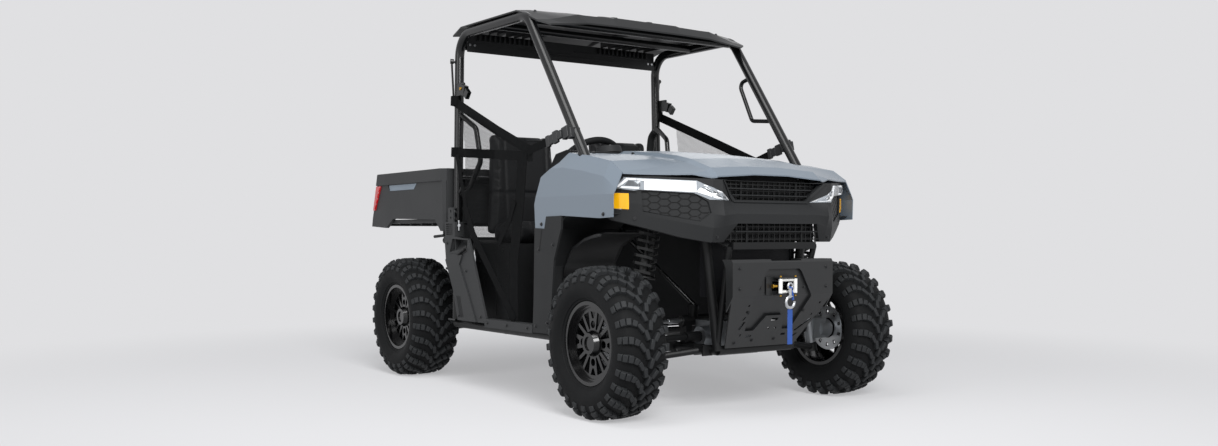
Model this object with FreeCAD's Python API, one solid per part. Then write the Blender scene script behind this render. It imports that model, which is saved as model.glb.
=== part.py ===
"""Side-by-side utility vehicle with a roll cage, a tipping cargo box and a front winch plate.

Millimetres. +Z is up with the floor at z = 0, the front faces -Y and +X is the vehicle's left.
The origin lies on the floor at the middle of the vehicle's length and width.
"""
import FreeCAD
import Part

import math
import os

V = FreeCAD.Vector
X_AXIS = V(1, 0, 0)
Y_AXIS = V(0, 1, 0)
Z_AXIS = V(0, 0, 1)
LEFT = 1
RIGHT = -1
SIDES = {"right": RIGHT, "left": LEFT}

# Overall sizes
FRONT_OVERHANG = 400.0
WHEELBASE = 1830.0
REAR_OVERHANG = 430.0
FRONT_TRACK = 1250.0
REAR_TRACK = 1195.0

# Tyres and wheels
TYRE_RADIUS = 305.0
FRONT_TYRE_WIDTH = 229.0
REAR_TYRE_WIDTH = 254.0
BEAD_RADIUS = 152.4
RIM_FLANGE_RADIUS = 167.0
FRONT_RIM_HALF_WIDTH = 84.0
REAR_RIM_HALF_WIDTH = 100.0
RIM_WALL = 5.0
WHEEL_DISC_OFFSET = 56.0
HUB_RADIUS = 38.0
STUB_AXLE_RADIUS = 17.0
TREAD_PITCHES = 9
LUG_HEIGHT = 17.0
SHOULDER_LUG_WIDTH = 44.0
SPOKE_GROUPS = 4
SPOKE_THICKNESS = 8.0
SPOKE_OUTER_RADIUS = 127.0
WHEEL_BOLT_RADIUS = 75.0
WHEEL_BOLT_WELL = 30.0
HUB_CAP_LENGTH = 27.0
BRAKE_DISC_RADIUS = 100.0
BRAKE_DISC_THICKNESS = 5.0
BRAKE_HOLES = 10
BRAKE_HOLE = 13.0
BRAKE_HOLE_RADIUS = 76.0

# Steering
KINGPIN_BOTTOM_INSET = 125.0
KINGPIN_BOTTOM_Z = 230.0
KINGPIN_TOP_INSET = 225.0
KINGPIN_TOP_Z = 812.0
STEERING_ARM_LENGTH = 110.0
STEERING_WHEEL_RADIUS = 172.0
STEERING_COLUMN_ANGLE = 38.0
STEERING_RACK_Z = 364.0

# Frame tubes and the roll cage
FRAME_TUBE = 38.0
CAGE_TUBE = 44.5
LOWER_RAIL_X = 200.0
LOWER_RAIL_Z = 262.0
ARM_PIVOT_OFFSET = 38.0
FRAME_FRONT_REACH = 180.0
SILL_X = 600.0
SILL_Z = 298.0
UPPER_FRONT_RAIL_INSET = 355.0
UPPER_FRONT_RAIL_Z = 770.0
SIDE_RAIL_X = 575.0
SIDE_RAIL_Z = 845.0
BED_RAIL_X = 300.0
BED_RAIL_Z = 700.0
UPPER_ARM_PIVOT_X = 272.0
UPPER_ARM_PIVOT_Z = 430.0
SHOCK_INSET = 192.5
SHOCK_LOW_Z = 414.0
CAGE_HEIGHT = 1694.0
CAGE_REAR_SETBACK = 519.0
CAGE_BEND_RADIUS = 110.0
REAR_HEADER_DROP = 47.0
A_PILLAR_FOOT_SETBACK = 62.0
CAGE_TOP_X = 585.0
A_PILLAR_FOOT_X = 592.0
B_PILLAR_FOOT_X = 614.0

# Bodywork
PANEL = 4.0
BONNET_HALF_WIDTH = 612.0
NOSE_FLAT_HALF_WIDTH = 285.0
CREASE_HALF_WIDTH = 278.0
CREASE_RUN = 26.0
CREASE_STEP = 13.0
SIDE_PANEL_X = 658.0
FASCIA_BOTTOM_Z = 702.0
FASCIA_WALL = 22.0
INSERT_DEPTH = 10.0
HEX_PITCH_X = 38.0
HEX_PITCH_Z = 26.0
HEX_POCKET_DEPTH = 3.0
GRILLE_LIP = 5.0
GRID_ROWS = 3
GRID_COLUMNS = 8
GRID_PITCH = 29.0
FLOOR_Z = 310.0
ROCKER_TOP_Z = 346.0
VENT_SLOTS = 6
DASH_BOTTOM_Z = 860.0
FIREWALL_GAP = 390.0
DASH_TOP_Z = 1085.0

# Roof
ROOF_THICKNESS = 7.0
ROOF_CHANNEL = 15.0
ROOF_RIBS = 7
ROOF_RIB_X = 210.0
ROOF_RIB_DEPTH = 30.0
ROOF_RIB_PITCH = 46.0

# Seats
SEAT_CENTRE_X = 290.0
SEAT_WIDTH = 430.0
SEAT_BASE_TOP_Z = 690.0
CUSHION_THICKNESS = 98.0
BACKREST_TOP_Z = 1235.0

# Cargo box
BED_HALF_WIDTH = 660.0
BED_TOP_Z = 1055.0
BED_FLOOR_Z = 790.0
BED_WALL = 24.0
BED_HINGE_SETBACK = 190.0
BED_HINGE_Z = 742.0
BED_FLOOR_THICKNESS = 20.0
TAILGATE_THICKNESS = 28.0
TAILGATE_HINGE_RISE = 22.0
BED_RIM_Z = 995.0
BED_RIM_STEP = 7.0
BED_RIBS = 4
BED_RIB_PITCH = 120.0
BED_RIB_HEIGHT = 4.0
BED_CROSS_RIBS = 6

# Winch
WINCH_PLATE_HALF_WIDTH = 272.0
WINCH_PLATE_FOOT = 186.0
STEEL_PLATE = 5.0
RECESS_DEPTH = 12.0
WINCH_Z = 527.0
WINCH_TRAY_Z = 461.0
WINCH_TRAY_FRONT = 315.9
HOOK_BAR = 13.0
HOOK_EYE_BORE = 12.0
HOOK_BOWL_Z = 462.0
STRAP_LENGTH = 140.0
FAIRLEAD_ROLLER_X = 40.0

# Fits
PIN_CLEARANCE = 0.3
COIL_STRETCHES = 12
RUNNING_GAP = 6.0

OVERALL_LENGTH = FRONT_OVERHANG + WHEELBASE + REAR_OVERHANG
FRONT_Y = -OVERALL_LENGTH / 2
REAR_Y = OVERALL_LENGTH / 2
FRONT_AXLE_Y = FRONT_Y + FRONT_OVERHANG
REAR_AXLE_Y = FRONT_AXLE_Y + WHEELBASE
AXLE_Z = TYRE_RADIUS
FIREWALL_Y = FRONT_AXLE_Y + FIREWALL_GAP
CAGE_REAR_Y = REAR_AXLE_Y - CAGE_REAR_SETBACK
A_PILLAR_FOOT_Z = SIDE_RAIL_Z + FRAME_TUBE / 2
CAGE_FRONT_Y = FRONT_AXLE_Y + 664
A_PILLAR_FOOT_Y = FRONT_AXLE_Y + A_PILLAR_FOOT_SETBACK
A_PILLAR_RAKE = (CAGE_FRONT_Y - A_PILLAR_FOOT_Y) / (CAGE_HEIGHT - A_PILLAR_FOOT_Z)
SHOCK_X = REAR_TRACK / 2 - SHOCK_INSET
KINGPIN_BOTTOM_X = FRONT_TRACK / 2 - KINGPIN_BOTTOM_INSET
KINGPIN_TOP_X = FRONT_TRACK / 2 - KINGPIN_TOP_INSET
UPPER_FRONT_RAIL_X = FRONT_TRACK / 2 - UPPER_FRONT_RAIL_INSET
BED_FRONT_Y = CAGE_REAR_Y + 44
BED_REAR_TOP_Y = REAR_Y - 109
BED_REAR_BOTTOM_Y = REAR_Y - 18
BED_HINGE_Y = REAR_AXLE_Y + BED_HINGE_SETBACK
NOSE_Y = FRONT_Y + 122


def box(x0, x1, y0, y1, z0, z1):
    """A box between two corners."""
    return Part.makeBox(x1 - x0, y1 - y0, z1 - z0, V(x0, y0, z0))


def rod(start, end, diameter):
    """A round bar from one point to another."""
    start, end = V(*start), V(*end)
    return Part.makeCylinder(diameter / 2, (end - start).Length, start, end - start)


def mirrored(shape):
    """The same shape on the vehicle's other side."""
    return shape.mirror(V(0, 0, 0), X_AXIS)


def on_side(shape, side):
    """A shape drawn for the left, placed on the side asked for."""
    return shape if side == LEFT else mirrored(shape)


def both(shape):
    """A shape drawn for the left, joined with its mirror image."""
    return shape.fuse(mirrored(shape))


def joined(shapes):
    """All shapes fused into one, with merged faces."""
    shapes = list(shapes)
    if len(shapes) == 1:
        return shapes[0]
    return shapes[0].fuse(shapes[1:]).removeSplitter()


def without(shape, *tools):
    """The shape with every tool cut away."""
    return shape.cut(list(tools))


def prism(points, direction):
    """A straight extrusion of a polygon along a vector."""
    wire = Part.makePolygon([V(*p) for p in points] + [V(*points[0])])
    return Part.Face(wire).extrude(V(*direction))


def prism_x(yz, x0, x1):
    """A polygon in the YZ plane, extruded from x0 to x1."""
    return prism([(x0, y, z) for y, z in yz], (x1 - x0, 0, 0))


def prism_y(xz, y0, y1):
    """A polygon in the XZ plane, extruded from y0 to y1."""
    return prism([(x, y0, z) for x, z in xz], (0, y1 - y0, 0))


def prism_z(xy, z0, z1):
    """A polygon in the XY plane, extruded from z0 to z1."""
    return prism([(x, y, z0) for x, y in xy], (0, 0, z1 - z0))


def strip(line, thickness):
    """A closed outline: an open line in a plane, given a thickness to its right-hand side."""
    offset = []
    for i, point in enumerate(line):
        before = line[max(i - 1, 0)]
        after = line[min(i + 1, len(line) - 1)]
        lengths = [math.dist(before, point), math.dist(point, after)]
        normals = []
        for (a, b), length in zip(((before, point), (point, after)), lengths):
            if length:
                normals.append(((b[1] - a[1]) / length, (a[0] - b[0]) / length))
        nx = sum(n[0] for n in normals) / len(normals)
        ny = sum(n[1] for n in normals) / len(normals)
        scale = thickness / (nx * nx + ny * ny)
        offset.append((point[0] + nx * scale, point[1] + ny * scale))
    return list(line) + offset[::-1]


def path_wire(points, radius):
    """A wire of straight runs joined by tangent arcs of one radius."""
    points = [V(*p) for p in points]
    edges = []
    start = points[0]
    for before, corner, after in zip(points, points[1:], points[2:]):
        into = (corner - before).normalize()
        out = (after - corner).normalize()
        turn = into.getAngle(out)
        setback = radius * math.tan(turn / 2)
        first = corner - into * setback
        last = corner + out * setback
        inward = (out - into).normalize()
        middle = corner + inward * (radius / math.cos(turn / 2) - radius)
        edges.append(Part.LineSegment(start, first).toShape())
        edges.append(Part.Arc(first, middle, last).toShape())
        start = last
    edges.append(Part.LineSegment(start, points[-1]).toShape())
    return Part.Wire(edges)


def tube(points, diameter, radius=60.0):
    """A round bar bent along a path."""
    if len(points) == 2:
        return rod(points[0], points[1], diameter)
    spine = path_wire(points, radius)
    start, direction = V(*points[0]), V(*points[1]) - V(*points[0])
    section = Part.Wire(Part.makeCircle(diameter / 2, start, direction))
    return spine.makePipeShell([section], True, False)


def turned(profile, centre, axis):
    """A full turn of a closed (along, radius) profile about an axis through the centre."""
    side = Z_AXIS if abs(axis.z) < 0.9 else X_AXIS
    side = (side - axis * side.dot(axis)).normalize()
    points = [V(*centre) + axis * along + side * radius for along, radius in profile]
    face = Part.Face(Part.makePolygon(points + [points[0]]))
    return face.revolve(V(*centre), axis, 360)


def offset_outline(points, distance):
    """A polygon grown on every side by a distance."""
    area = sum(a[0] * b[1] - b[0] * a[1] for a, b in zip(points, points[1:] + points[:1]))
    way = 1 if area > 0 else -1
    grown = []
    for before, point, after in zip(points[-1:] + points[:-1], points, points[1:] + points[:1]):
        normals = []
        for a, b in ((before, point), (point, after)):
            length = math.dist(a, b)
            normals.append((way * (b[1] - a[1]) / length, way * (a[0] - b[0]) / length))
        nx, nz = (sum(n[i] for n in normals) / 2 for i in (0, 1))
        scale = distance / (nx * nx + nz * nz)
        grown.append((point[0] + nx * scale, point[1] + nz * scale))
    return grown


def lofted(sections):
    """A solid through outlines with as many corners each, with straight rulings."""
    wires = [Part.makePolygon([V(*p) for p in s] + [V(*s[0])]) for s in sections]
    return Part.makeLoft(wires, True, True)


def coil_spring(low, axis, length, radius, wire, turns):
    """A coil of square wire between two seats, built from straight stretches."""
    across = axis.cross(Y_AXIS).normalize()
    steps = turns * COIL_STRETCHES
    sections = []
    for i in range(steps + 1):
        outward = FreeCAD.Rotation(axis, 360 / COIL_STRETCHES * i).multVec(across)
        centre = low + axis * (wire / 2 + (length - wire) * i / steps) + outward * radius
        corners = [(-1, -1), (1, -1), (1, 1), (-1, 1)]
        sections.append([centre + outward * (a * wire / 2) + axis * (b * wire / 2) for a, b in corners])
    return lofted(sections)


def cage_side_points(offset=0.0):
    """The left side tube of the roll cage, from its front foot over the roof to its rear foot."""
    return [
        (A_PILLAR_FOOT_X, A_PILLAR_FOOT_Y, A_PILLAR_FOOT_Z + offset),
        (CAGE_TOP_X, CAGE_FRONT_Y, CAGE_HEIGHT),
        (CAGE_TOP_X, CAGE_REAR_Y, CAGE_HEIGHT),
        (B_PILLAR_FOOT_X, CAGE_REAR_Y, SILL_Z + FRAME_TUBE / 2 + offset),
    ]


def kingpin_point(z):
    """The left steering axis at a height."""
    share = (z - KINGPIN_BOTTOM_Z) / (KINGPIN_TOP_Z - KINGPIN_BOTTOM_Z)
    return V(KINGPIN_BOTTOM_X + share * (KINGPIN_TOP_X - KINGPIN_BOTTOM_X), FRONT_AXLE_Y, z)


def kingpin_direction():
    """The left steering axis as an upward unit vector."""
    return (kingpin_point(KINGPIN_TOP_Z) - kingpin_point(KINGPIN_BOTTOM_Z)).normalize()


def on_kingpin(z0, z1, diameter):
    """A round bar on the left steering axis between two heights."""
    start, end = kingpin_point(z0), kingpin_point(z1)
    return Part.makeCylinder(diameter / 2, (end - start).Length, start, end - start)


def around_x(shape, angle):
    """A copy of a shape, turned about the X axis."""
    copy = shape.copy()
    copy.rotate(V(0, 0, 0), X_AXIS, angle)
    return copy


def moved(shape, place):
    """A copy of a shape, moved to its place."""
    copy = shape.copy()
    copy.translate(V(*place))
    return copy


def carcass_profile(half, rim_half_width):
    """The tyre without its lugs as (x, radius), from its outer tread corner round to the beads and back."""
    tread = TYRE_RADIUS - LUG_HEIGHT
    seat_x = rim_half_width - RIM_WALL - PIN_CLEARANCE
    right = [
        (half - 42, tread), (half - 3, tread - 48), (seat_x, RIM_FLANGE_RADIUS + 4),
        (seat_x, BEAD_RADIUS + RIM_WALL + 3),
    ]
    return right + [(-x, radius) for x, radius in right[::-1]]


def carcass_wedge(profile, pitch):
    """One flat-sided wedge of the carcass, a pitch wide and centred on the top of the tyre."""
    reach = 2 * TYRE_RADIUS
    slab = prism([(x, -reach, radius) for x, radius in profile], (0, 2 * reach, 0))
    spread = reach * math.tan(math.radians(pitch / 2))
    return slab.common(prism_x([(0, 0), (spread, reach), (-spread, reach)], -TYRE_RADIUS, TYRE_RADIUS))


def tread_lug(x, angle, size_x, size_y, skew):
    """A block on the crown, turned by a skew and set at an angle round the tyre."""
    lug = box(-size_x / 2, size_x / 2, -size_y / 2, size_y / 2, TYRE_RADIUS - LUG_HEIGHT - 10, TYRE_RADIUS)
    lug.rotate(V(0, 0, 0), Z_AXIS, skew)
    return around_x(moved(lug, (x, 0, 0)), angle)


def shoulder_lug(half, side, angle):
    """A lug that runs from the crown's edge down over the shoulder."""
    top = TYRE_RADIUS - 1.5
    profile = [(half - 54, top - 22), (half - 54, top), (half - 18, top - 8), (half, top - 62)]
    w = SHOULDER_LUG_WIDTH / 2
    lug = prism([(side * x, -w, radius) for x, radius in profile], (0, 2 * w, 0))
    return around_x(lug, angle)


def tyre(width, rim_half_width):
    """One tyre standing on its lugs, about the origin, built from one pitch of its tread."""
    half = width / 2
    pitch = 360 / TREAD_PITCHES
    wedge = carcass_wedge(carcass_profile(half, rim_half_width), pitch / 2)
    carcass = [around_x(wedge, pitch / 4), around_x(wedge, -pitch / 4)]
    lugs = [
        tread_lug(-24, -pitch / 4, 46, 30, 25), tread_lug(24, pitch / 4, 46, 30, -25),
        shoulder_lug(half, 1, -pitch / 4), shoulder_lug(half, 1, pitch / 4),
        shoulder_lug(half, -1, -pitch / 4), shoulder_lug(half, -1, pitch / 4),
    ]
    unit = joined(carcass + lugs)
    return joined([around_x(unit, pitch * i + pitch / 4) for i in range(TREAD_PITCHES)])


def spoke_windows():
    """The cuts between the spokes: a small one over each bolt well and three wide ones between wells."""
    step = 360 / SPOKE_GROUPS
    inner, outer = HUB_RADIUS + 20, SPOKE_OUTER_RADIUS
    cuts = []
    bolt_window = (-8, 8, WHEEL_BOLT_RADIUS + 24)
    for start, end, radius in (bolt_window, (14, 31, inner), (37, 53, inner), (59, 76, inner)):
        corners = []
        for r, angles in ((radius, (start, end)), (outer, (end, start))):
            gap = 10 if r < outer else 0
            for angle in angles:
                turn = math.radians(angle + gap * (1 if angle == start else -1) * (inner / outer))
                corners.append((WHEEL_DISC_OFFSET - SPOKE_THICKNESS, r * math.sin(turn), r * math.cos(turn)))
        cuts.append(prism(corners, (2 * SPOKE_THICKNESS, 0, 0)))
    well = rod((WHEEL_DISC_OFFSET - SPOKE_THICKNESS, 0, WHEEL_BOLT_RADIUS),
               (WHEEL_DISC_OFFSET + SPOKE_THICKNESS, 0, WHEEL_BOLT_RADIUS), WHEEL_BOLT_WELL)
    return [around_x(cut, step * i) for cut in cuts + [well] for i in range(SPOKE_GROUPS)]


def wheel(rim_half_width, stub_length):
    """One wheel about the origin, outer face towards +X: rim, spokes, cap, brake disc and stub axle."""
    w = rim_half_width
    d = WHEEL_DISC_OFFSET
    t = SPOKE_THICKNESS / 2
    seat = BEAD_RADIUS + RIM_WALL
    rim = [
        (-w, RIM_FLANGE_RADIUS), (-w + RIM_WALL, RIM_FLANGE_RADIUS), (-w + RIM_WALL, seat),
        (w - RIM_WALL, seat), (w - RIM_WALL, RIM_FLANGE_RADIUS), (w, RIM_FLANGE_RADIUS),
        (w, BEAD_RADIUS), (d + 3 * t, BEAD_RADIUS), (d + 3 * t, BEAD_RADIUS - 10), (d + t, BEAD_RADIUS - 10),
        (d + t, SPOKE_OUTER_RADIUS), (d - t, SPOKE_OUTER_RADIUS), (d - t, BEAD_RADIUS), (-w, BEAD_RADIUS),
    ]
    disc = [(d - t, 0), (d - t, SPOKE_OUTER_RADIUS + 1), (d + t, SPOKE_OUTER_RADIUS + 1), (d + t, 0)]
    cap = [
        (d, 0), (d, HUB_RADIUS + 14), (d + 8, HUB_RADIUS + 14), (d + HUB_CAP_LENGTH, HUB_RADIUS + 4),
        (d + HUB_CAP_LENGTH, HUB_RADIUS - 10), (d + HUB_CAP_LENGTH - 6, HUB_RADIUS - 10),
        (d + HUB_CAP_LENGTH - 6, 0),
    ]
    hub = [
        (-stub_length, 0), (-stub_length, STUB_AXLE_RADIUS), (-26, STUB_AXLE_RADIUS), (-26, 30),
        (-22, 30), (-22, BRAKE_DISC_RADIUS), (-22 + BRAKE_DISC_THICKNESS, BRAKE_DISC_RADIUS),
        (-22 + BRAKE_DISC_THICKNESS, HUB_RADIUS), (d, HUB_RADIUS), (d, 0),
    ]
    spoked = without(turned(disc, (0, 0, 0), X_AXIS), *spoke_windows())
    hole = rod((-24, 0, BRAKE_HOLE_RADIUS), (-16, 0, BRAKE_HOLE_RADIUS), BRAKE_HOLE)
    drilled = [around_x(hole, 360 / BRAKE_HOLES * i) for i in range(BRAKE_HOLES)]
    return joined([
        spoked, turned(rim, (0, 0, 0), X_AXIS), turned(cap, (0, 0, 0), X_AXIS),
        without(turned(hub, (0, 0, 0), X_AXIS), *drilled)])


def front_knuckle(side):
    """The upright, its steering arm, the ball stud and the brake caliper."""
    track = FRONT_TRACK / 2
    bearing = rod((track - 92, FRONT_AXLE_Y, AXLE_Z), (track - 30, FRONT_AXLE_Y, AXLE_Z), 84)
    lower = on_kingpin(KINGPIN_BOTTOM_Z + 16, AXLE_Z, 46)
    upper = on_kingpin(AXLE_Z, 398, 46)
    web = box(kingpin_point(AXLE_Z).x, track - 60, FRONT_AXLE_Y - 30, FRONT_AXLE_Y + 30,
              AXLE_Z - 40, AXLE_Z + 50)
    stud = on_kingpin(KINGPIN_BOTTOM_Z - 18, KINGPIN_BOTTOM_Z + 16, 24)
    tip = kingpin_point(STEERING_RACK_Z)
    arm = prism_z([
        (tip.x - 20, FRONT_AXLE_Y), (tip.x + 20, FRONT_AXLE_Y),
        (tip.x + 4, FRONT_AXLE_Y + STEERING_ARM_LENGTH), (tip.x - 26, FRONT_AXLE_Y + STEERING_ARM_LENGTH),
    ], STEERING_RACK_Z - 36, STEERING_RACK_Z - 24)
    caliper = box(track - 46, track + 2, FRONT_AXLE_Y + 58, FRONT_AXLE_Y + 114, AXLE_Z - 45, AXLE_Z + 45)
    slot = turned([(-28, 0), (-28, 106), (-11, 106), (-11, 0)], (track, FRONT_AXLE_Y, AXLE_Z), X_AXIS)
    bridge = box(track - 62, track - 40, FRONT_AXLE_Y, FRONT_AXLE_Y + 100, AXLE_Z - 25, AXLE_Z + 25)
    body = joined([bearing, lower, upper, web, stud, arm, without(caliper, slot), bridge])
    bore = rod((track - 110, FRONT_AXLE_Y, AXLE_Z), (track - 20, FRONT_AXLE_Y, AXLE_Z),
               2 * (STUB_AXLE_RADIUS + PIN_CLEARANCE))
    return on_side(without(body, bore, strut_socket()), side)


def strut_socket():
    """The room that the strut's lower end takes in the upright."""
    return on_kingpin(352, 500, 40)


def front_strut(side):
    """The strut's tube, spring seats and rod, with its coil spring."""
    tube_part = on_kingpin(352, 640, 40)
    rod_part = on_kingpin(630, KINGPIN_TOP_Z + 8, 16)
    seats = [on_kingpin(556, 562, 104), on_kingpin(786, 792, 104)]
    low, high = kingpin_point(562), kingpin_point(786)
    spring = coil_spring(low, kingpin_direction(), (high - low).Length, 43, 11, 7)
    return on_side(joined([tube_part, rod_part, spring] + seats), side)


def front_arms():
    """The lower front arms, left and right, each a forked tube with a ball joint cup."""
    cup = on_kingpin(KINGPIN_BOTTOM_Z - 22, KINGPIN_BOTTOM_Z + 12, 52)
    legs = []
    for reach in (-120, 120):
        eye = (LOWER_RAIL_X + ARM_PIVOT_OFFSET, FRONT_AXLE_Y + reach, LOWER_RAIL_Z)
        legs.append(rod(eye, (KINGPIN_BOTTOM_X - 8, FRONT_AXLE_Y + reach * 0.05, KINGPIN_BOTTOM_Z - 4), 28))
        legs.append(rod((eye[0], eye[1] - 22, eye[2]), (eye[0], eye[1] + 22, eye[2]), 34))
    socket = on_kingpin(KINGPIN_BOTTOM_Z - 30, KINGPIN_BOTTOM_Z + 30, 24 + 2 * PIN_CLEARANCE)
    return both(without(joined([cup] + legs), socket))


def steering_rack():
    """The sliding rack with its two tie rods and their end eyes."""
    y = FRONT_AXLE_Y + STEERING_ARM_LENGTH
    tip = kingpin_point(STEERING_RACK_Z)
    bar = rod((-230, y, STEERING_RACK_Z), (230, y, STEERING_RACK_Z), 22)
    tie = rod((225, y, STEERING_RACK_Z), (tip.x - 12, y - 4, STEERING_RACK_Z), 15)
    eye = rod((tip.x - 11, y - 4, STEERING_RACK_Z - 7), (tip.x - 11, y - 4, STEERING_RACK_Z + 15), 30)
    return joined([bar, tie, eye, mirrored(tie), mirrored(eye)])


def rack_housing():
    """The tube that the rack slides in, with its feet on the lower rails."""
    y = FRONT_AXLE_Y + STEERING_ARM_LENGTH
    body = rod((-165, y, STEERING_RACK_Z), (165, y, STEERING_RACK_Z), 50)
    pinion = rod((-100, y, STEERING_RACK_Z + 10), (-100, y - 10, STEERING_RACK_Z + 70), 44)
    foot = box(120, 150, y - 22, y + 22, LOWER_RAIL_Z - 10, STEERING_RACK_Z)
    beam = box(-LOWER_RAIL_X + FRAME_TUBE / 2, LOWER_RAIL_X - FRAME_TUBE / 2, y - 22, y + 22,
               LOWER_RAIL_Z - 12, LOWER_RAIL_Z + 12)
    bore = rod((-200, y, STEERING_RACK_Z), (200, y, STEERING_RACK_Z), 22 + 2 * PIN_CLEARANCE)
    return without(joined([body, pinion, both(foot), beam]), bore)


def steering_axis():
    """Centre of the steering wheel and the unit vector from the rack towards the driver."""
    angle = math.radians(STEERING_COLUMN_ANGLE)
    centre = V(-SEAT_CENTRE_X, FRONT_AXLE_Y + 630, 1030)
    return centre, V(0, math.cos(angle), math.sin(angle))


def steering_wheel():
    """Rim, three spokes and a plain hub pad."""
    centre, axis = steering_axis()
    rim = Part.makeTorus(STEERING_WHEEL_RADIUS - 15, 15, centre, axis)
    up = V(0, -axis.z, axis.y)
    hub = Part.makeCylinder(46, 34, centre - axis * 34, axis)
    spokes = []
    for angle in (-90, 0, 90):
        direction = FreeCAD.Rotation(axis, angle).multVec(up * -1)
        spokes.append(Part.makeCylinder(11, STEERING_WHEEL_RADIUS - 20, centre - axis * 14, direction))
    shaft = Part.makeCylinder(11, 80, centre - axis * 110, axis)
    return joined([rim, hub, shaft] + spokes)


def steering_column():
    """The fixed column tube below the wheel and the shaft down to the rack's pinion."""
    centre, axis = steering_axis()
    top = centre - axis * 52
    column = Part.makeCylinder(24, 190, top, axis * -1)
    bore = Part.makeCylinder(11 + PIN_CLEARANCE, 62, top + axis, axis * -1)
    low = top - axis * 190
    shafts = [rod(a, b, 20) for a, b in column_shaft_runs(low)]
    joint = Part.makeSphere(17, V(*column_shaft_runs(low)[0][1]))
    return without(joined([column, joint] + shafts), bore, rack_housing())


def column_shaft_runs(low):
    """The two runs of the lower steering shaft, past the upper front rail to the pinion."""
    low = (low.x, low.y, low.z)
    joint = (-UPPER_FRONT_RAIL_X - 41, FRONT_AXLE_Y + 330, 740)
    pinion = (-100, FRONT_AXLE_Y + STEERING_ARM_LENGTH - 10, STEERING_RACK_Z + 68)
    return (low, joint), (joint, pinion)


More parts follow.
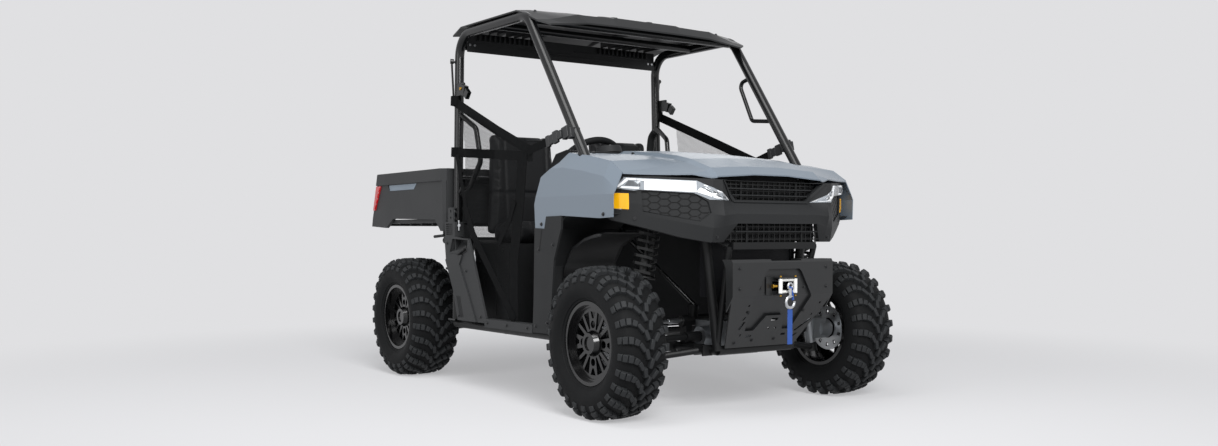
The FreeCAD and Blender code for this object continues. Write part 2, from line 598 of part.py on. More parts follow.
def main_frame():
    """The welded tube frame: rails, sills, cross tubes, front and rear towers and bed rails."""
    d = FRAME_TUBE
    front = FRONT_AXLE_Y - FRAME_FRONT_REACH
    rear = REAR_AXLE_Y + 215
    half = []
    half.append(rod((LOWER_RAIL_X, front, LOWER_RAIL_Z), (LOWER_RAIL_X, rear, LOWER_RAIL_Z), d))
    half.append(tube([
        (LOWER_RAIL_X, front, LOWER_RAIL_Z), (UPPER_FRONT_RAIL_X, front, UPPER_FRONT_RAIL_Z),
        (UPPER_FRONT_RAIL_X, FIREWALL_Y + 40, UPPER_FRONT_RAIL_Z),
    ], d))
    half.append(rod((UPPER_FRONT_RAIL_X, FIREWALL_Y + 30, UPPER_FRONT_RAIL_Z),
                    (SILL_X, FIREWALL_Y + 40, SILL_Z), d))
    half.append(rod((SILL_X, FIREWALL_Y + 22, SILL_Z), (SILL_X, CAGE_REAR_Y + 30, SILL_Z), d))
    half.append(tube([
        (SILL_X, FIREWALL_Y + 40, SILL_Z), (SIDE_RAIL_X, FIREWALL_Y + 40, SIDE_RAIL_Z),
        (SIDE_RAIL_X, A_PILLAR_FOOT_Y - 30, SIDE_RAIL_Z),
    ], d))
    half.append(rod((LOWER_RAIL_X, rear - 20, LOWER_RAIL_Z), (BED_RAIL_X, rear - 20, BED_RAIL_Z), d))
    half.append(rod((BED_RAIL_X, CAGE_REAR_Y - 40, BED_RAIL_Z), (BED_RAIL_X, rear + 20, BED_RAIL_Z), d))
    half.append(rod((BED_RAIL_X, CAGE_REAR_Y - 40, BED_RAIL_Z),
                    (LOWER_RAIL_X, CAGE_REAR_Y - 40, LOWER_RAIL_Z), d))
    tower = box(UPPER_FRONT_RAIL_X, SIDE_RAIL_X, FRONT_AXLE_Y - 45, FRONT_AXLE_Y + 45,
                KINGPIN_TOP_Z - 6, KINGPIN_TOP_Z)
    half.append(tower)
    half.append(box(UPPER_FRONT_RAIL_X - 4, UPPER_FRONT_RAIL_X + 4, FRONT_AXLE_Y - 45, FRONT_AXLE_Y + 45,
                    UPPER_FRONT_RAIL_Z, KINGPIN_TOP_Z))
    half.append(box(SIDE_RAIL_X - 4, SIDE_RAIL_X + 4, FRONT_AXLE_Y - 45, FRONT_AXLE_Y + 45,
                    KINGPIN_TOP_Z - 6, SIDE_RAIL_Z))
    for y in (FRONT_AXLE_Y - 120, FRONT_AXLE_Y + 120):
        for side_y in (y - 30, y + 22):
            half.append(box(LOWER_RAIL_X, LOWER_RAIL_X + ARM_PIVOT_OFFSET + 13, side_y, side_y + 8,
                            LOWER_RAIL_Z - 22, LOWER_RAIL_Z + 22))
    for y in (REAR_AXLE_Y - 110, REAR_AXLE_Y + 110):
        half.append(rod((LOWER_RAIL_X, y, LOWER_RAIL_Z), (BED_RAIL_X, y, BED_RAIL_Z), 28))
        for side_y in (y - 28, y + 20):
            half.append(box(LOWER_RAIL_X, LOWER_RAIL_X + ARM_PIVOT_OFFSET + 13, side_y, side_y + 8,
                            LOWER_RAIL_Z - 20, LOWER_RAIL_Z + 20))
            half.append(box(UPPER_ARM_PIVOT_X - 48, UPPER_ARM_PIVOT_X + 13, side_y, side_y + 8,
                            UPPER_ARM_PIVOT_Z - 20, UPPER_ARM_PIVOT_Z + 20))
        half.append(box(UPPER_ARM_PIVOT_X - 48, UPPER_ARM_PIVOT_X - 20, y - 28, y + 28,
                        UPPER_ARM_PIVOT_Z - 20, UPPER_ARM_PIVOT_Z + 20))
    cross_tube = d - 6
    cross_z = FLOOR_Z - PIN_CLEARANCE - cross_tube / 2
    crosses = []
    for y in (FIREWALL_Y + 40, (FIREWALL_Y + CAGE_REAR_Y) / 2, CAGE_REAR_Y - 40):
        crosses.append(rod((-SILL_X, y, cross_z), (SILL_X, y, cross_z), cross_tube))
    crosses.append(rod((-LOWER_RAIL_X, front, LOWER_RAIL_Z), (LOWER_RAIL_X, front, LOWER_RAIL_Z), d))
    crosses.append(rod((-UPPER_FRONT_RAIL_X, front + 40, UPPER_FRONT_RAIL_Z),
                       (UPPER_FRONT_RAIL_X, front + 40, UPPER_FRONT_RAIL_Z), cross_tube))
    crosses.append(rod((-LOWER_RAIL_X, rear - 20, LOWER_RAIL_Z), (LOWER_RAIL_X, rear - 20, LOWER_RAIL_Z), d))
    crosses.append(rod((-BED_RAIL_X, rear - 20, BED_RAIL_Z),
                       (BED_RAIL_X, rear - 20, BED_RAIL_Z), cross_tube))
    crosses.append(rod((-BED_RAIL_X, CAGE_REAR_Y - 40, BED_RAIL_Z),
                       (BED_RAIL_X, CAGE_REAR_Y - 40, BED_RAIL_Z), cross_tube))
    pivots = hinge_bracket()
    body = joined(half + [mirrored(s) for s in half] + crosses + [pivots, mirrored(pivots), front_guard()])
    strut_hole = on_kingpin(KINGPIN_TOP_Z - 20, KINGPIN_TOP_Z + 20, 16 + 2 * PIN_CLEARANCE)
    return without(body, strut_hole, mirrored(strut_hole))


def hinge_bracket():
    """The left plate pair on the bed rail that holds the cargo box's hinge pin."""
    x = BED_RAIL_X
    plates = []
    for x0 in (x - 22, x + 14):
        plates.append(prism_x([
            (BED_HINGE_Y - 28, BED_RAIL_Z), (BED_HINGE_Y + 28, BED_RAIL_Z),
            (BED_HINGE_Y + 16, BED_HINGE_Z + 15), (BED_HINGE_Y - 16, BED_HINGE_Z + 15),
        ], x0, x0 + 8))
    pin = rod((x - 26, BED_HINGE_Y, BED_HINGE_Z), (x + 26, BED_HINGE_Y, BED_HINGE_Z), 14)
    return joined(plates + [pin])


def roll_cage():
    """Two side hoops with feet, front and rear headers and a roof cross tube."""
    under_foot = box(A_PILLAR_FOOT_X - 60, A_PILLAR_FOOT_X + 60, A_PILLAR_FOOT_Y - 90, A_PILLAR_FOOT_Y + 90,
                     A_PILLAR_FOOT_Z - 60, A_PILLAR_FOOT_Z)
    side = without(tube(cage_side_points(3), CAGE_TUBE, CAGE_BEND_RADIUS), under_foot)
    feet = [
        box(A_PILLAR_FOOT_X - 38, A_PILLAR_FOOT_X + 30, A_PILLAR_FOOT_Y - 38, A_PILLAR_FOOT_Y + 38,
            A_PILLAR_FOOT_Z, A_PILLAR_FOOT_Z + 7),
        box(B_PILLAR_FOOT_X - 36, B_PILLAR_FOOT_X + 30, CAGE_REAR_Y - 36, CAGE_REAR_Y + 36,
            SILL_Z + FRAME_TUBE / 2, SILL_Z + FRAME_TUBE / 2 + 7),
    ]
    half = joined([side] + feet)
    front = tube([
        (-CAGE_TOP_X, CAGE_FRONT_Y + 22, CAGE_HEIGHT - 14),
        (CAGE_TOP_X, CAGE_FRONT_Y + 22, CAGE_HEIGHT - 14),
    ], CAGE_TUBE - 10)
    middle = rod((-CAGE_TOP_X, 0.5 * (CAGE_FRONT_Y + CAGE_REAR_Y), CAGE_HEIGHT),
                 (CAGE_TOP_X, 0.5 * (CAGE_FRONT_Y + CAGE_REAR_Y), CAGE_HEIGHT), CAGE_TUBE - 10)
    rear_z = CAGE_HEIGHT - REAR_HEADER_DROP
    rear = rod((-CAGE_TOP_X, CAGE_REAR_Y, rear_z), (CAGE_TOP_X, CAGE_REAR_Y, rear_z), CAGE_TUBE)
    waist = rod((-B_PILLAR_FOOT_X, CAGE_REAR_Y, 1000), (B_PILLAR_FOOT_X, CAGE_REAR_Y, 1000), CAGE_TUBE - 8)
    return joined([half, mirrored(half), front, middle, rear, waist])


def roof_form(thickness):
    """The roof's outer form, as thick as asked: two long channels and turned-down front and sides."""
    rest = CAGE_HEIGHT + CAGE_TUBE / 2 + PIN_CLEARANCE
    stations = [
        (CAGE_FRONT_Y - 118, rest - 46, rest - 72, 540, 0),
        (CAGE_FRONT_Y - 82, rest - 4, rest - 54, 590, 4),
        (CAGE_FRONT_Y + 20, rest + 18, rest - 10, 602, ROOF_CHANNEL),
        (CAGE_FRONT_Y + 66, rest + 26, rest + 6, 606, ROOF_CHANNEL),
        (CAGE_REAR_Y - 50, rest + 32, rest + 8, 606, ROOF_CHANNEL),
        (CAGE_REAR_Y + 52, rest + 4, rest - 18, 596, 3),
    ]
    sections = []
    for y, top, edge, half, channel in stations:
        side = [(170, top), (190, top - channel), (350, top - channel - 3), (372, top - 6),
                (half - 70, edge + 8), (half, edge)]
        upper = [(-x, z) for x, z in side[::-1]] + side
        lower = [(x, z - thickness) for x, z in upper[::-1]]
        sections.append([(x, y, z) for x, z in upper + lower])
    return lofted(sections)


def roof():
    """A moulded roof panel with stiffening ribs under its rear half."""
    ribs = [
        box(x, x + 4, CAGE_REAR_Y - 190, CAGE_REAR_Y - 32, CAGE_HEIGHT - 40, CAGE_HEIGHT + 80)
        for x in [ROOF_RIB_X + i * ROOF_RIB_PITCH for i in range(ROOF_RIBS)]
    ]
    ribs = roof_form(ROOF_RIB_DEPTH).common(Part.makeCompound(ribs + [mirrored(rib) for rib in ribs]))
    shell = without(joined([roof_form(ROOF_THICKNESS)] + ribs.Solids), cage_clearance(PIN_CLEARANCE))
    return max(shell.Solids, key=lambda solid: solid.Volume)


def cage_clearance(gap):
    """The room round the roll cage that panels leave open."""
    side = tube(cage_side_points(), CAGE_TUBE + 2 * gap, CAGE_BEND_RADIUS)
    return both(side)


BONNET_STATIONS = [
    (-278, 975, 962, 880), (-232, 1008, 997, 920), (-103, 1048, 1038, 972), (-20, 1064, 1055, 1022),
    (130, 1083, 1075, 1050), (282, 1098, 1090, 1070), (370, 1104, 1096, 1078),
]


def bonnet_surface(drop):
    """Cross-sections of the bonnet's top with its raised middle, lowered by a drop."""
    sections = []
    for offset, centre, crease, edge in BONNET_STATIONS:
        y = FRONT_AXLE_Y + offset
        half = [(90, centre), (CREASE_HALF_WIDTH, crease),
                (CREASE_HALF_WIDTH + CREASE_RUN, crease - CREASE_STEP), (BONNET_HALF_WIDTH, edge)]
        line = [(-x, z) for x, z in half[::-1]] + half
        sections.append([(x, y, z - drop) for x, z in line])
    return sections


def bonnet_plan(inset):
    """The bonnet's outline seen from above."""
    rear = FRONT_AXLE_Y + 370 - inset
    return [
        (-NOSE_FLAT_HALF_WIDTH + inset / 2, NOSE_Y + inset),
        (NOSE_FLAT_HALF_WIDTH - inset / 2, NOSE_Y + inset),
        (BONNET_HALF_WIDTH - inset, FRONT_AXLE_Y - 103), (BONNET_HALF_WIDTH - inset, FRONT_AXLE_Y + 282),
        (520, rear), (-520, rear),
        (-BONNET_HALF_WIDTH + inset, FRONT_AXLE_Y + 282), (-BONNET_HALF_WIDTH + inset, FRONT_AXLE_Y - 103),
    ]


def bonnet():
    """The bonnet skin, cut to its outline and clear of the roll cage."""
    top = bonnet_surface(0)
    low = bonnet_surface(PANEL + 1)
    sections = [a + b[::-1] for a, b in zip(top, low)]
    skin = lofted(sections)
    return without(skin.common(prism_z(bonnet_plan(0.5), 800, 1200)), cage_clearance(4))


def edge_height(y):
    """Height of the bonnet's side edge at a station along the vehicle."""
    stations = [(FRONT_AXLE_Y + s[0], s[3]) for s in BONNET_STATIONS]
    for (y0, z0), (y1, z1) in zip(stations, stations[1:]):
        if y <= y1:
            return z0 + (z1 - z0) * (y - y0) / (y1 - y0)
    return stations[-1][1]


def front_side_panel():
    """The painted panel beside the bonnet, over the wheel arch, with its tab by the door opening."""
    sections = []
    for y in [FRONT_AXLE_Y + d for d in (-110, -20, 130, 282, 500)]:
        top = edge_height(min(y, FRONT_AXLE_Y + 282))
        line = [(BONNET_HALF_WIDTH + 1, top), (SIDE_PANEL_X - 12, top - 62), (SIDE_PANEL_X, 890),
                (SIDE_PANEL_X, 740)]
        sections.append([(x, y, z) for x, z in strip(line, PANEL)])
    skin = lofted(sections)
    panel = skin.common(prism_x(side_panel_outline(), BONNET_HALF_WIDTH - 0.2, SIDE_PANEL_X + 20))
    return without(panel, cage_clearance(4))


def side_panel_outline():
    """The front side panel seen from the side."""
    f = FRONT_AXLE_Y
    return [
        (f - 100, 800), (f - 8, 797), (f + 266, 810), (f + 390, 808), (f + 404, 757), (f + 485, 760),
        (f + 492, 860), (f + 451, 975), (f + 330, 1030), (f + 282, 1072), (f + 130, 1052), (f - 20, 1024),
        (f - 98, 980), (f - 103, 915),
    ]


def front_skirt():
    """The dark panel between front wheel and door opening, down to the sill, with the arch liner."""
    f = FRONT_AXLE_Y
    outer = prism_x([
        (f + 266, 820), (f + 273, 755), (f + 329, 627), (f + 364, 315), (f + 506, 312), (f + 496, 452),
        (f + 484, 770), (f + 396, 820),
    ], SIDE_PANEL_X - 6, SIDE_PANEL_X + 4)
    outer = without(outer, prism_x(side_panel_outline(), SIDE_PANEL_X - 10, SIDE_PANEL_X + 10))
    top = KINGPIN_TOP_Z + PANEL + PIN_CLEARANCE
    liner_line = [(f - 70, top), (f + 240, top), (f + 330, 760), (f + 388, 600), (f + 388, 325)]
    liner = prism_x(strip(liner_line, 4), 330, SIDE_PANEL_X - 6)
    hole = on_kingpin(600, 900, 130)
    tower_post = box(SIDE_RAIL_X - 8, SIDE_RAIL_X + 8, f - 50, f + 50, 790, 900)
    fascia_end = fascia_solid(-PIN_CLEARANCE, FASCIA_WALL + RUNNING_GAP)
    cage_foot = box(SIDE_RAIL_X - 45, SIDE_RAIL_X + 60, A_PILLAR_FOOT_Y - 60, A_PILLAR_FOOT_Y + 60, 790, 900)
    return without(joined([outer, liner]), hole, frame_clearance_front(), cage_foot, tower_post, fascia_end)


def frame_clearance_front():
    """The room round the side rail and its post that the arch liner leaves open."""
    d = FRAME_TUBE + 4
    post = tube([
        (SILL_X, FIREWALL_Y + 40, SILL_Z - 20), (SIDE_RAIL_X, FIREWALL_Y + 40, SIDE_RAIL_Z),
        (SIDE_RAIL_X, A_PILLAR_FOOT_Y - 30, SIDE_RAIL_Z),
    ], d)
    brace = rod((UPPER_FRONT_RAIL_X, FIREWALL_Y + 30, UPPER_FRONT_RAIL_Z),
                (SILL_X, FIREWALL_Y + 40, SILL_Z), d)
    return post.fuse(brace)


def lamp_outline():
    """The left headlamp seen from the front, from its inner tip round by the top."""
    return [
        (217, 866), (345, 927), (370, 942), (596, 956), (626, 917), (617, 912), (564, 903), (546, 907),
        (380, 894),
        (332, 868),
    ]





FASCIA_STATIONS = [
    (0, [(-275, 1000), (-275, 866), (-322, 814), (-324, 776), (-286, 702)]),
    (219, [(-275, 1000), (-275, 866), (-322, 814), (-324, 776), (-286, 702)]),
    (283, [(-307, 1000), (-315, 862), (-326, 807), (-313, 762), (-293, 702)]),
    (322, [(-297, 1000), (-301, 862), (-303, 812), (-305, 758), (-291, 702)]),
    (600, [(-85, 1000), (-80, 905), (-80, 860), (-76, 822), (-67, 702)]),
    (640, [(-45, 1000), (-35, 905), (-33, 860), (-31, 822), (-31, 702)]),
    (648, [(5, 1000), (9, 905), (9, 860), (9, 822), (5, 702)]),
]


def fascia_solid(front, back):
    """The space between two depths behind the fascia's outer surface, over the vehicle's full width."""
    half = []
    for x, line in FASCIA_STATIONS:
        outer = [(FRONT_AXLE_Y + dy + front, z) for dy, z in line]
        inner = [(y + back - front, z) for y, z in outer[::-1]]
        half.append([(x, y, z) for y, z in outer + inner])
    return both(lofted(half))


def hex_insert_outline(grow=0.0):
    """The honeycomb insert below the left headlamp, seen from the front."""
    return [
        (542 + grow, 904 + grow), (376, 892 + grow), (336 - grow, 860 + grow), (328 - grow, 816),
        (363, 783 - grow), (481, 809 - grow), (536 + grow, 822 - grow),
    ]


def upper_grille_outline(grow=0.0):
    """The upper grille opening, seen from the front."""
    return [(-192 - grow, 871 - grow), (192 + grow, 871 - grow), (270 + grow, 945), (-270 - grow, 945)]


def lower_grille_outline():
    """The lower grille opening, seen from the front."""
    return [(-262, FASCIA_BOTTOM_Z - 1), (262, FASCIA_BOTTOM_Z - 1), (215, 776), (-215, 776)]


def bumper_fascia():
    """The faceted moulded bumper with its grille openings, lamp seats and honeycomb inserts."""
    front, rear = FRONT_Y - 10, FRONT_AXLE_Y + 60
    half = [
        (0, 947), (292, 947), (366, 951), (600, 965), (644, 925), (646, 862), (630, 798), (617, 787),
        (415, 722),
        (326, FASCIA_BOTTOM_Z), (0, FASCIA_BOTTOM_Z),
    ]
    outline = half + [(-x, z) for x, z in half[::-1]]
    shell = fascia_solid(0, FASCIA_WALL).common(prism_y(outline, front, rear))
    lamp_hole = prism_y(offset_outline(lamp_outline(), PIN_CLEARANCE), front, rear)
    insert_hole = prism_y(hex_insert_outline(), front, rear)
    shell = without(
        shell, prism_y(upper_grille_outline(), front, rear), prism_y(lower_grille_outline(), front, rear),
        lamp_hole, mirrored(lamp_hole), insert_hole, mirrored(insert_hole))
    insert = fascia_solid(INSERT_DEPTH, FASCIA_WALL).common(prism_y(hex_insert_outline(1), front, rear))
    insert = without(insert, honeycomb(), lamp_hole)
    lip = fascia_solid(-GRILLE_LIP, 0.5).common(without(
        prism_y(upper_grille_outline(10), front, rear), prism_y(upper_grille_outline(), front, rear)))
    return joined([shell, insert, mirrored(insert), lip])


def honeycomb():
    """The six-sided pockets of the left insert, on its outer face only."""
    front, rear = FRONT_Y - 10, FRONT_AXLE_Y + 60
    layer = fascia_solid(INSERT_DEPTH - 2, INSERT_DEPTH + HEX_POCKET_DEPTH)
    cells = []
    for row in range(-2, 4):
        for column in range(-3, 4):
            x = 430 + column * HEX_PITCH_X + (row % 2) * HEX_PITCH_X / 2
            z = 842 + row * HEX_PITCH_Z
            w, h = HEX_PITCH_X / 2 - 2.5, HEX_PITCH_Z * 0.6
            cells.append(prism_y([
                (x - w, z - h / 2), (x, z - h), (x + w, z - h / 2),
                (x + w, z + h / 2), (x, z + h), (x - w, z + h / 2),
            ], front, rear))
    return layer.common(prism_y(hex_insert_outline(-6), front, rear)).common(Part.makeCompound(cells))


def grille():
    """The upper and lower grilles: long bars in front of a fine grid, within the fascia's wall."""
    f = FRONT_AXLE_Y
    upper = offset_outline(upper_grille_outline(), -PIN_CLEARANCE)
    lower = offset_outline(lower_grille_outline(), -PIN_CLEARANCE)
    parts = []
    for outline, y, long_bars in ((upper, f - 262, (890, 916)), (lower, f - 298, (745,))):
        zone = prism_y(outline, y - 12, y + 8)
        z0, z1 = max(outline[0][1], FASCIA_BOTTOM_Z), outline[2][1]
        for z in long_bars:
            parts.append(box(-300, 300, y - 9, y - 2, z - 3, z + 3).common(zone))
        for x in (-150, 150):
            parts.append(box(x - 4, x + 4, y - 3, y + 1, z0, z1).common(zone))
        for i in range(GRID_ROWS):
            z = z0 + (z1 - z0) * (i + 0.5) / GRID_ROWS
            parts.append(box(-300, 300, y, y + 6, z - 2, z + 2).common(zone))
        for i in range(-GRID_COLUMNS, GRID_COLUMNS + 1):
            x = i * GRID_PITCH
            parts.append(box(x - 2, x + 2, y, y + 6, z0, z1).common(zone))
    return joined(parts)


def headlamp():
    """One lamp: a wedge-shaped bar that ends in a point, with a stepped outer lens."""
    front, rear = FRONT_Y - 10, FRONT_AXLE_Y + 60
    bar = fascia_solid(2, FASCIA_WALL).common(prism_y(lamp_outline(), front, rear))
    outer = [(548, 908), (566, 904), (617, 913), (625, 917), (597, 954), (560, 952)]
    step = fascia_solid(-5, FASCIA_WALL).common(prism_y(outer, front, rear))
    return joined([bar, step])


def side_reflector():
    """The amber reflector on the bumper's slanted corner, wider at its top."""
    outline = [(604, 894), (636, 896), (627, 834), (602, 830)]
    return fascia_solid(-3 - PIN_CLEARANCE, -PIN_CLEARANCE).common(
        prism_y(outline, FRONT_Y - 10, FRONT_AXLE_Y + 60))


def front_lamps():
    """Headlamps and side reflectors of both sides."""
    return Part.makeCompound([both(headlamp()), both(side_reflector())])


def winch_plate():
    """The pressed steel plate round the winch: top flange, side returns, recess, slots and holes."""
    f = FRONT_AXLE_Y
    w = WINCH_PLATE_HALF_WIDTH
    line = [(f - 296, 634), (f - 352, 634), (f - 360, 622), (f - 360, 489), (f - 212, 272)]
    front = [(-w, 640), (-w, 480), (-WINCH_PLATE_FOOT, 268), (WINCH_PLATE_FOOT, 268), (w, 480), (w, 640)]
    outline = prism_y(front, FRONT_Y, FRONT_AXLE_Y)
    half_recess = [(85, 600), (100, 586), (160, 480), (128, 338), (76, 338), (42, 400)]
    recess_line = half_recess + [(-x, z) for x, z in half_recess[::-1]]
    recess = prism_y(recess_line, FRONT_Y, FRONT_AXLE_Y)
    inner = prism_y(offset_outline(recess_line, -STEEL_PLATE), FRONT_Y, FRONT_AXLE_Y)
    sheet = prism_x(strip(line, -STEEL_PLATE), -w, w)
    thick = prism_x(strip(line, -STEEL_PLATE - RECESS_DEPTH), -w, w)
    pressed = moved(sheet, (0, RECESS_DEPTH, 0)).common(recess)
    side = prism_x([
        (f - 296, 634), (f - 352, 634), (f - 360, 622), (f - 360, 489), (f - 318, 428), (f - 318, 600),
    ], w - STEEL_PLATE, w)
    shell = joined([
        sheet.common(outline).cut(recess), thick.common(recess).cut(inner).common(outline), pressed,
        side, mirrored(side),
    ])
    notch = box(-66, 97, f - 400, f - 250, 628, 650)
    window = box(-95, 95, f - 400, f - 330, WINCH_Z - 30, WINCH_Z + 30)
    return without(shell, notch, window, *plate_slots())


def plate_slots():
    """The round holes and long slots along the lower edges of the winch plate."""
    f = FRONT_AXLE_Y
    cuts = []
    for x, z, width, height, lean in (
        (-163, 450, 8, 8, 0), (-160, 425, 8, 8, 0), (-158, 396, 8, 14, 4), (-154, 366, 12, 32, 6),
        (-140, 326, 9, 9, 0), (12, 388, 36, 10, 0), (-92, 320, 28, 9, 0), (99, 320, 24, 9, 0),
        (0, 350, 8, 8, 0), (38, 350, 8, 8, 0),
        (225, 451, 9, 9, 0), (207, 402, 9, 9, 0), (186, 358, 14, 52, 30), (168, 314, 10, 14, 8),
    ):
        corners = [(x - width / 2 - lean, z - height / 2), (x + width / 2 - lean, z - height / 2),
                   (x + width / 2 + lean, z + height / 2), (x - width / 2 + lean, z + height / 2)]
        cuts.append(prism_y(corners, f - 370, f - 180))
    return cuts


def winch():
    """The winch behind the plate: drum, motor and gear ends."""
    f = FRONT_AXLE_Y
    y = f - 295
    rope = rod((0, y, WINCH_Z), (0, FRONT_Y + 2, WINCH_Z), HOOK_EYE_BORE - 2 * PIN_CLEARANCE)
    drum = rod((-75, y, WINCH_Z), (75, y, WINCH_Z), 60)
    motor = rod((75, y, WINCH_Z), (170, y, WINCH_Z), 90)
    gears = rod((-170, y, WINCH_Z), (-75, y, WINCH_Z), 90)
    base = box(-172, 172, f - WINCH_TRAY_FRONT, f - 250, WINCH_TRAY_Z, WINCH_Z - 38)
    return joined([drum, motor, gears, base, rope])


def fairlead():
    """Roller fairlead on the plate's face: frame, two upright rollers and two level ones."""
    f = FRONT_AXLE_Y
    y1 = f - 360 + RECESS_DEPTH - PIN_CLEARANCE
    y0 = y1 - STEEL_PLATE
    frame = without(box(-92, 92, y0, y1, WINCH_Z - 36, WINCH_Z + 36),
                    box(-60, 60, y0 - 1, y1 + 1, WINCH_Z - 20, WINCH_Z + 20))
    parts = [frame]
    for z in (WINCH_Z - 36, WINCH_Z + 31):
        parts.append(box(-54, 54, f - 386, y0, z, z + 5))
    for x in (-FAIRLEAD_ROLLER_X, FAIRLEAD_ROLLER_X):
        parts.append(rod((x, f - 381, WINCH_Z - 32), (x, f - 381, WINCH_Z + 32), 14))
    for z in (WINCH_Z - 24, WINCH_Z + 24):
        parts.append(rod((-FAIRLEAD_ROLLER_X, f - 373, z), (FAIRLEAD_ROLLER_X, f - 373, z), 12))
    return joined(parts)


def winch_hook():
    """The forged hook that hangs from the fairlead."""
    y = FRONT_Y + HOOK_BAR / 2
    eye_radius = (HOOK_EYE_BORE + HOOK_BAR - 3) / 2
    eye = Part.makeTorus(eye_radius, (HOOK_BAR - 3) / 2, V(0, y, WINCH_Z), Y_AXIS)
    shank = rod((0, y, WINCH_Z - HOOK_EYE_BORE / 2 - 2), (0, y, WINCH_Z - 38), HOOK_BAR)
    bowl = Part.makeTorus(22, HOOK_BAR / 2, V(0, y, HOOK_BOWL_Z), Y_AXIS)
    mouth = box(2, 40, y - 12, y + 12, HOOK_BOWL_Z + 4, HOOK_BOWL_Z + 22)
    return joined([eye, shank, without(bowl, mouth)])


def hook_strap():
    """The flat webbing strap that hangs from the hook."""
    y = FRONT_Y + HOOK_BAR / 2
    top = HOOK_BOWL_Z - 22 - HOOK_BAR / 2 - PIN_CLEARANCE
    return box(-12.5, 12.5, y - 1.5, y + 1.5, top - STRAP_LENGTH, top)


def front_guard():
    """Lower beam, legs and tray that carry the winch and its plate."""
    f = FRONT_AXLE_Y
    beam = box(-225, 225, f - 308, f - 286, 674, FASCIA_BOTTOM_Z - PIN_CLEARANCE)
    leg = rod((230, f - 290, 686), (205, f - 190, 300), 25)
    stay = rod((232, f - 290, 686), (UPPER_FRONT_RAIL_X, f - FRAME_FRONT_REACH, 730), 22)
    tray = box(-216, 216, f - WINCH_TRAY_FRONT, f - 225, WINCH_TRAY_Z - 6, WINCH_TRAY_Z)
    return joined([beam, leg, mirrored(leg), stay, mirrored(stay), tray])


def radiator():
    """Core and tanks behind the grille, between the upper front rails."""
    y = FRONT_AXLE_Y - FRAME_FRONT_REACH + FRAME_TUBE / 2
    half = UPPER_FRONT_RAIL_X - 30
    core = box(25 - half, half - 25, y + 3, y + 40, 480, 735)
    tanks = both(box(half - 25, half, y, y + 46, 480, 735))
    return joined([core, tanks])


def dash():
    """The moulded dash across the cab."""
    f = FRONT_AXLE_Y
    profile = [
        (f + 375, DASH_BOTTOM_Z), (f + 375, 1088), (f + 410, DASH_TOP_Z + 8), (f + 500, DASH_TOP_Z - 6),
        (f + 540, DASH_TOP_Z - 50),
        (f + 520, 900), (f + 480, DASH_BOTTOM_Z),
    ]
    body = prism_x(profile, -545, 545)
    centre, axis = steering_axis()
    hole = Part.makeCylinder(24 + PIN_CLEARANCE, 226, centre - axis * 20, axis * -1)
    run = column_shaft_runs(centre - axis * 242)[0]
    frame_room = frame_clearance_front()
    return without(body, hole, rod(run[0], run[1], 26), cage_clearance(4), frame_room, mirrored(frame_room))


def hand_hold():
    """The bent hand-hold in the middle of the dash."""
    f = FRONT_AXLE_Y
    return tube([
        (40, f + 540, 1020), (40, f + 604, 1020), (40, f + 612, 1120), (40, f + 600, 1190),
        (40, f + 560, 1215),
    ], 26, 22)


def grab_handle():
    """The bent passenger handle on the left A-pillar."""
    def pillar(z):
        return CAGE_FRONT_Y - A_PILLAR_RAKE * (CAGE_HEIGHT - z)

    x = CAGE_TOP_X + 2
    z0, z1 = CAGE_HEIGHT - 419, CAGE_HEIGHT - 199
    handle = tube([
        (x, pillar(z1) + 14, z1), (x, pillar(z1) + 88, z1 - 18), (x, pillar(z0) + 150, z0 + 12),
        (x, pillar(z0) + 14, z0),
    ], 20, 28)
    return without(handle, cage_clearance(0))


def cab_floor():
    """The floor tub with toe board and tunnel."""
    front = FIREWALL_Y + 12
    plate = box(-570, 570, front + 60, CAGE_REAR_Y - 62, FLOOR_Z, FLOOR_Z + 6)
    toe_y = front + 60
    toe = prism_x(strip([(toe_y, FLOOR_Z), (toe_y, 560), (toe_y, DASH_BOTTOM_Z - PIN_CLEARANCE)], 6),
                  -545, 545)
    return joined([plate, toe])


def rocker_panel():
    """The dark sill cover under the door opening."""
    f = FRONT_AXLE_Y
    inner = SILL_X + FRAME_TUBE / 2 + PIN_CLEARANCE
    return box(inner, SIDE_PANEL_X + 6, f + 506 + PIN_CLEARANCE, CAGE_REAR_Y - 374 - PIN_CLEARANCE,
               308, ROCKER_TOP_Z)


def seat_base():
    """The box under the seats, hollow from below."""
    front = CAGE_REAR_Y - 415
    rear = CAGE_REAR_Y - 66
    outer = box(-545, 545, front, rear, FLOOR_Z + 6, SEAT_BASE_TOP_Z)
    inner = box(-539, 539, front + 6, rear - 6, FLOOR_Z, SEAT_BASE_TOP_Z - 6)
    return without(outer, inner)


def seat_cushion(side):
    """One seat cushion."""
    x = SEAT_CENTRE_X
    body = box(x - SEAT_WIDTH / 2, x + SEAT_WIDTH / 2, CAGE_REAR_Y - 410, CAGE_REAR_Y - 128 - PIN_CLEARANCE,
               SEAT_BASE_TOP_Z + PIN_CLEARANCE, SEAT_BASE_TOP_Z + CUSHION_THICKNESS)
    top = SEAT_BASE_TOP_Z + CUSHION_THICKNESS
    body = body.makeFillet(22, [e for e in body.Edges if abs(e.CenterOfMass.z - top) < 1])
    return on_side(body, side)


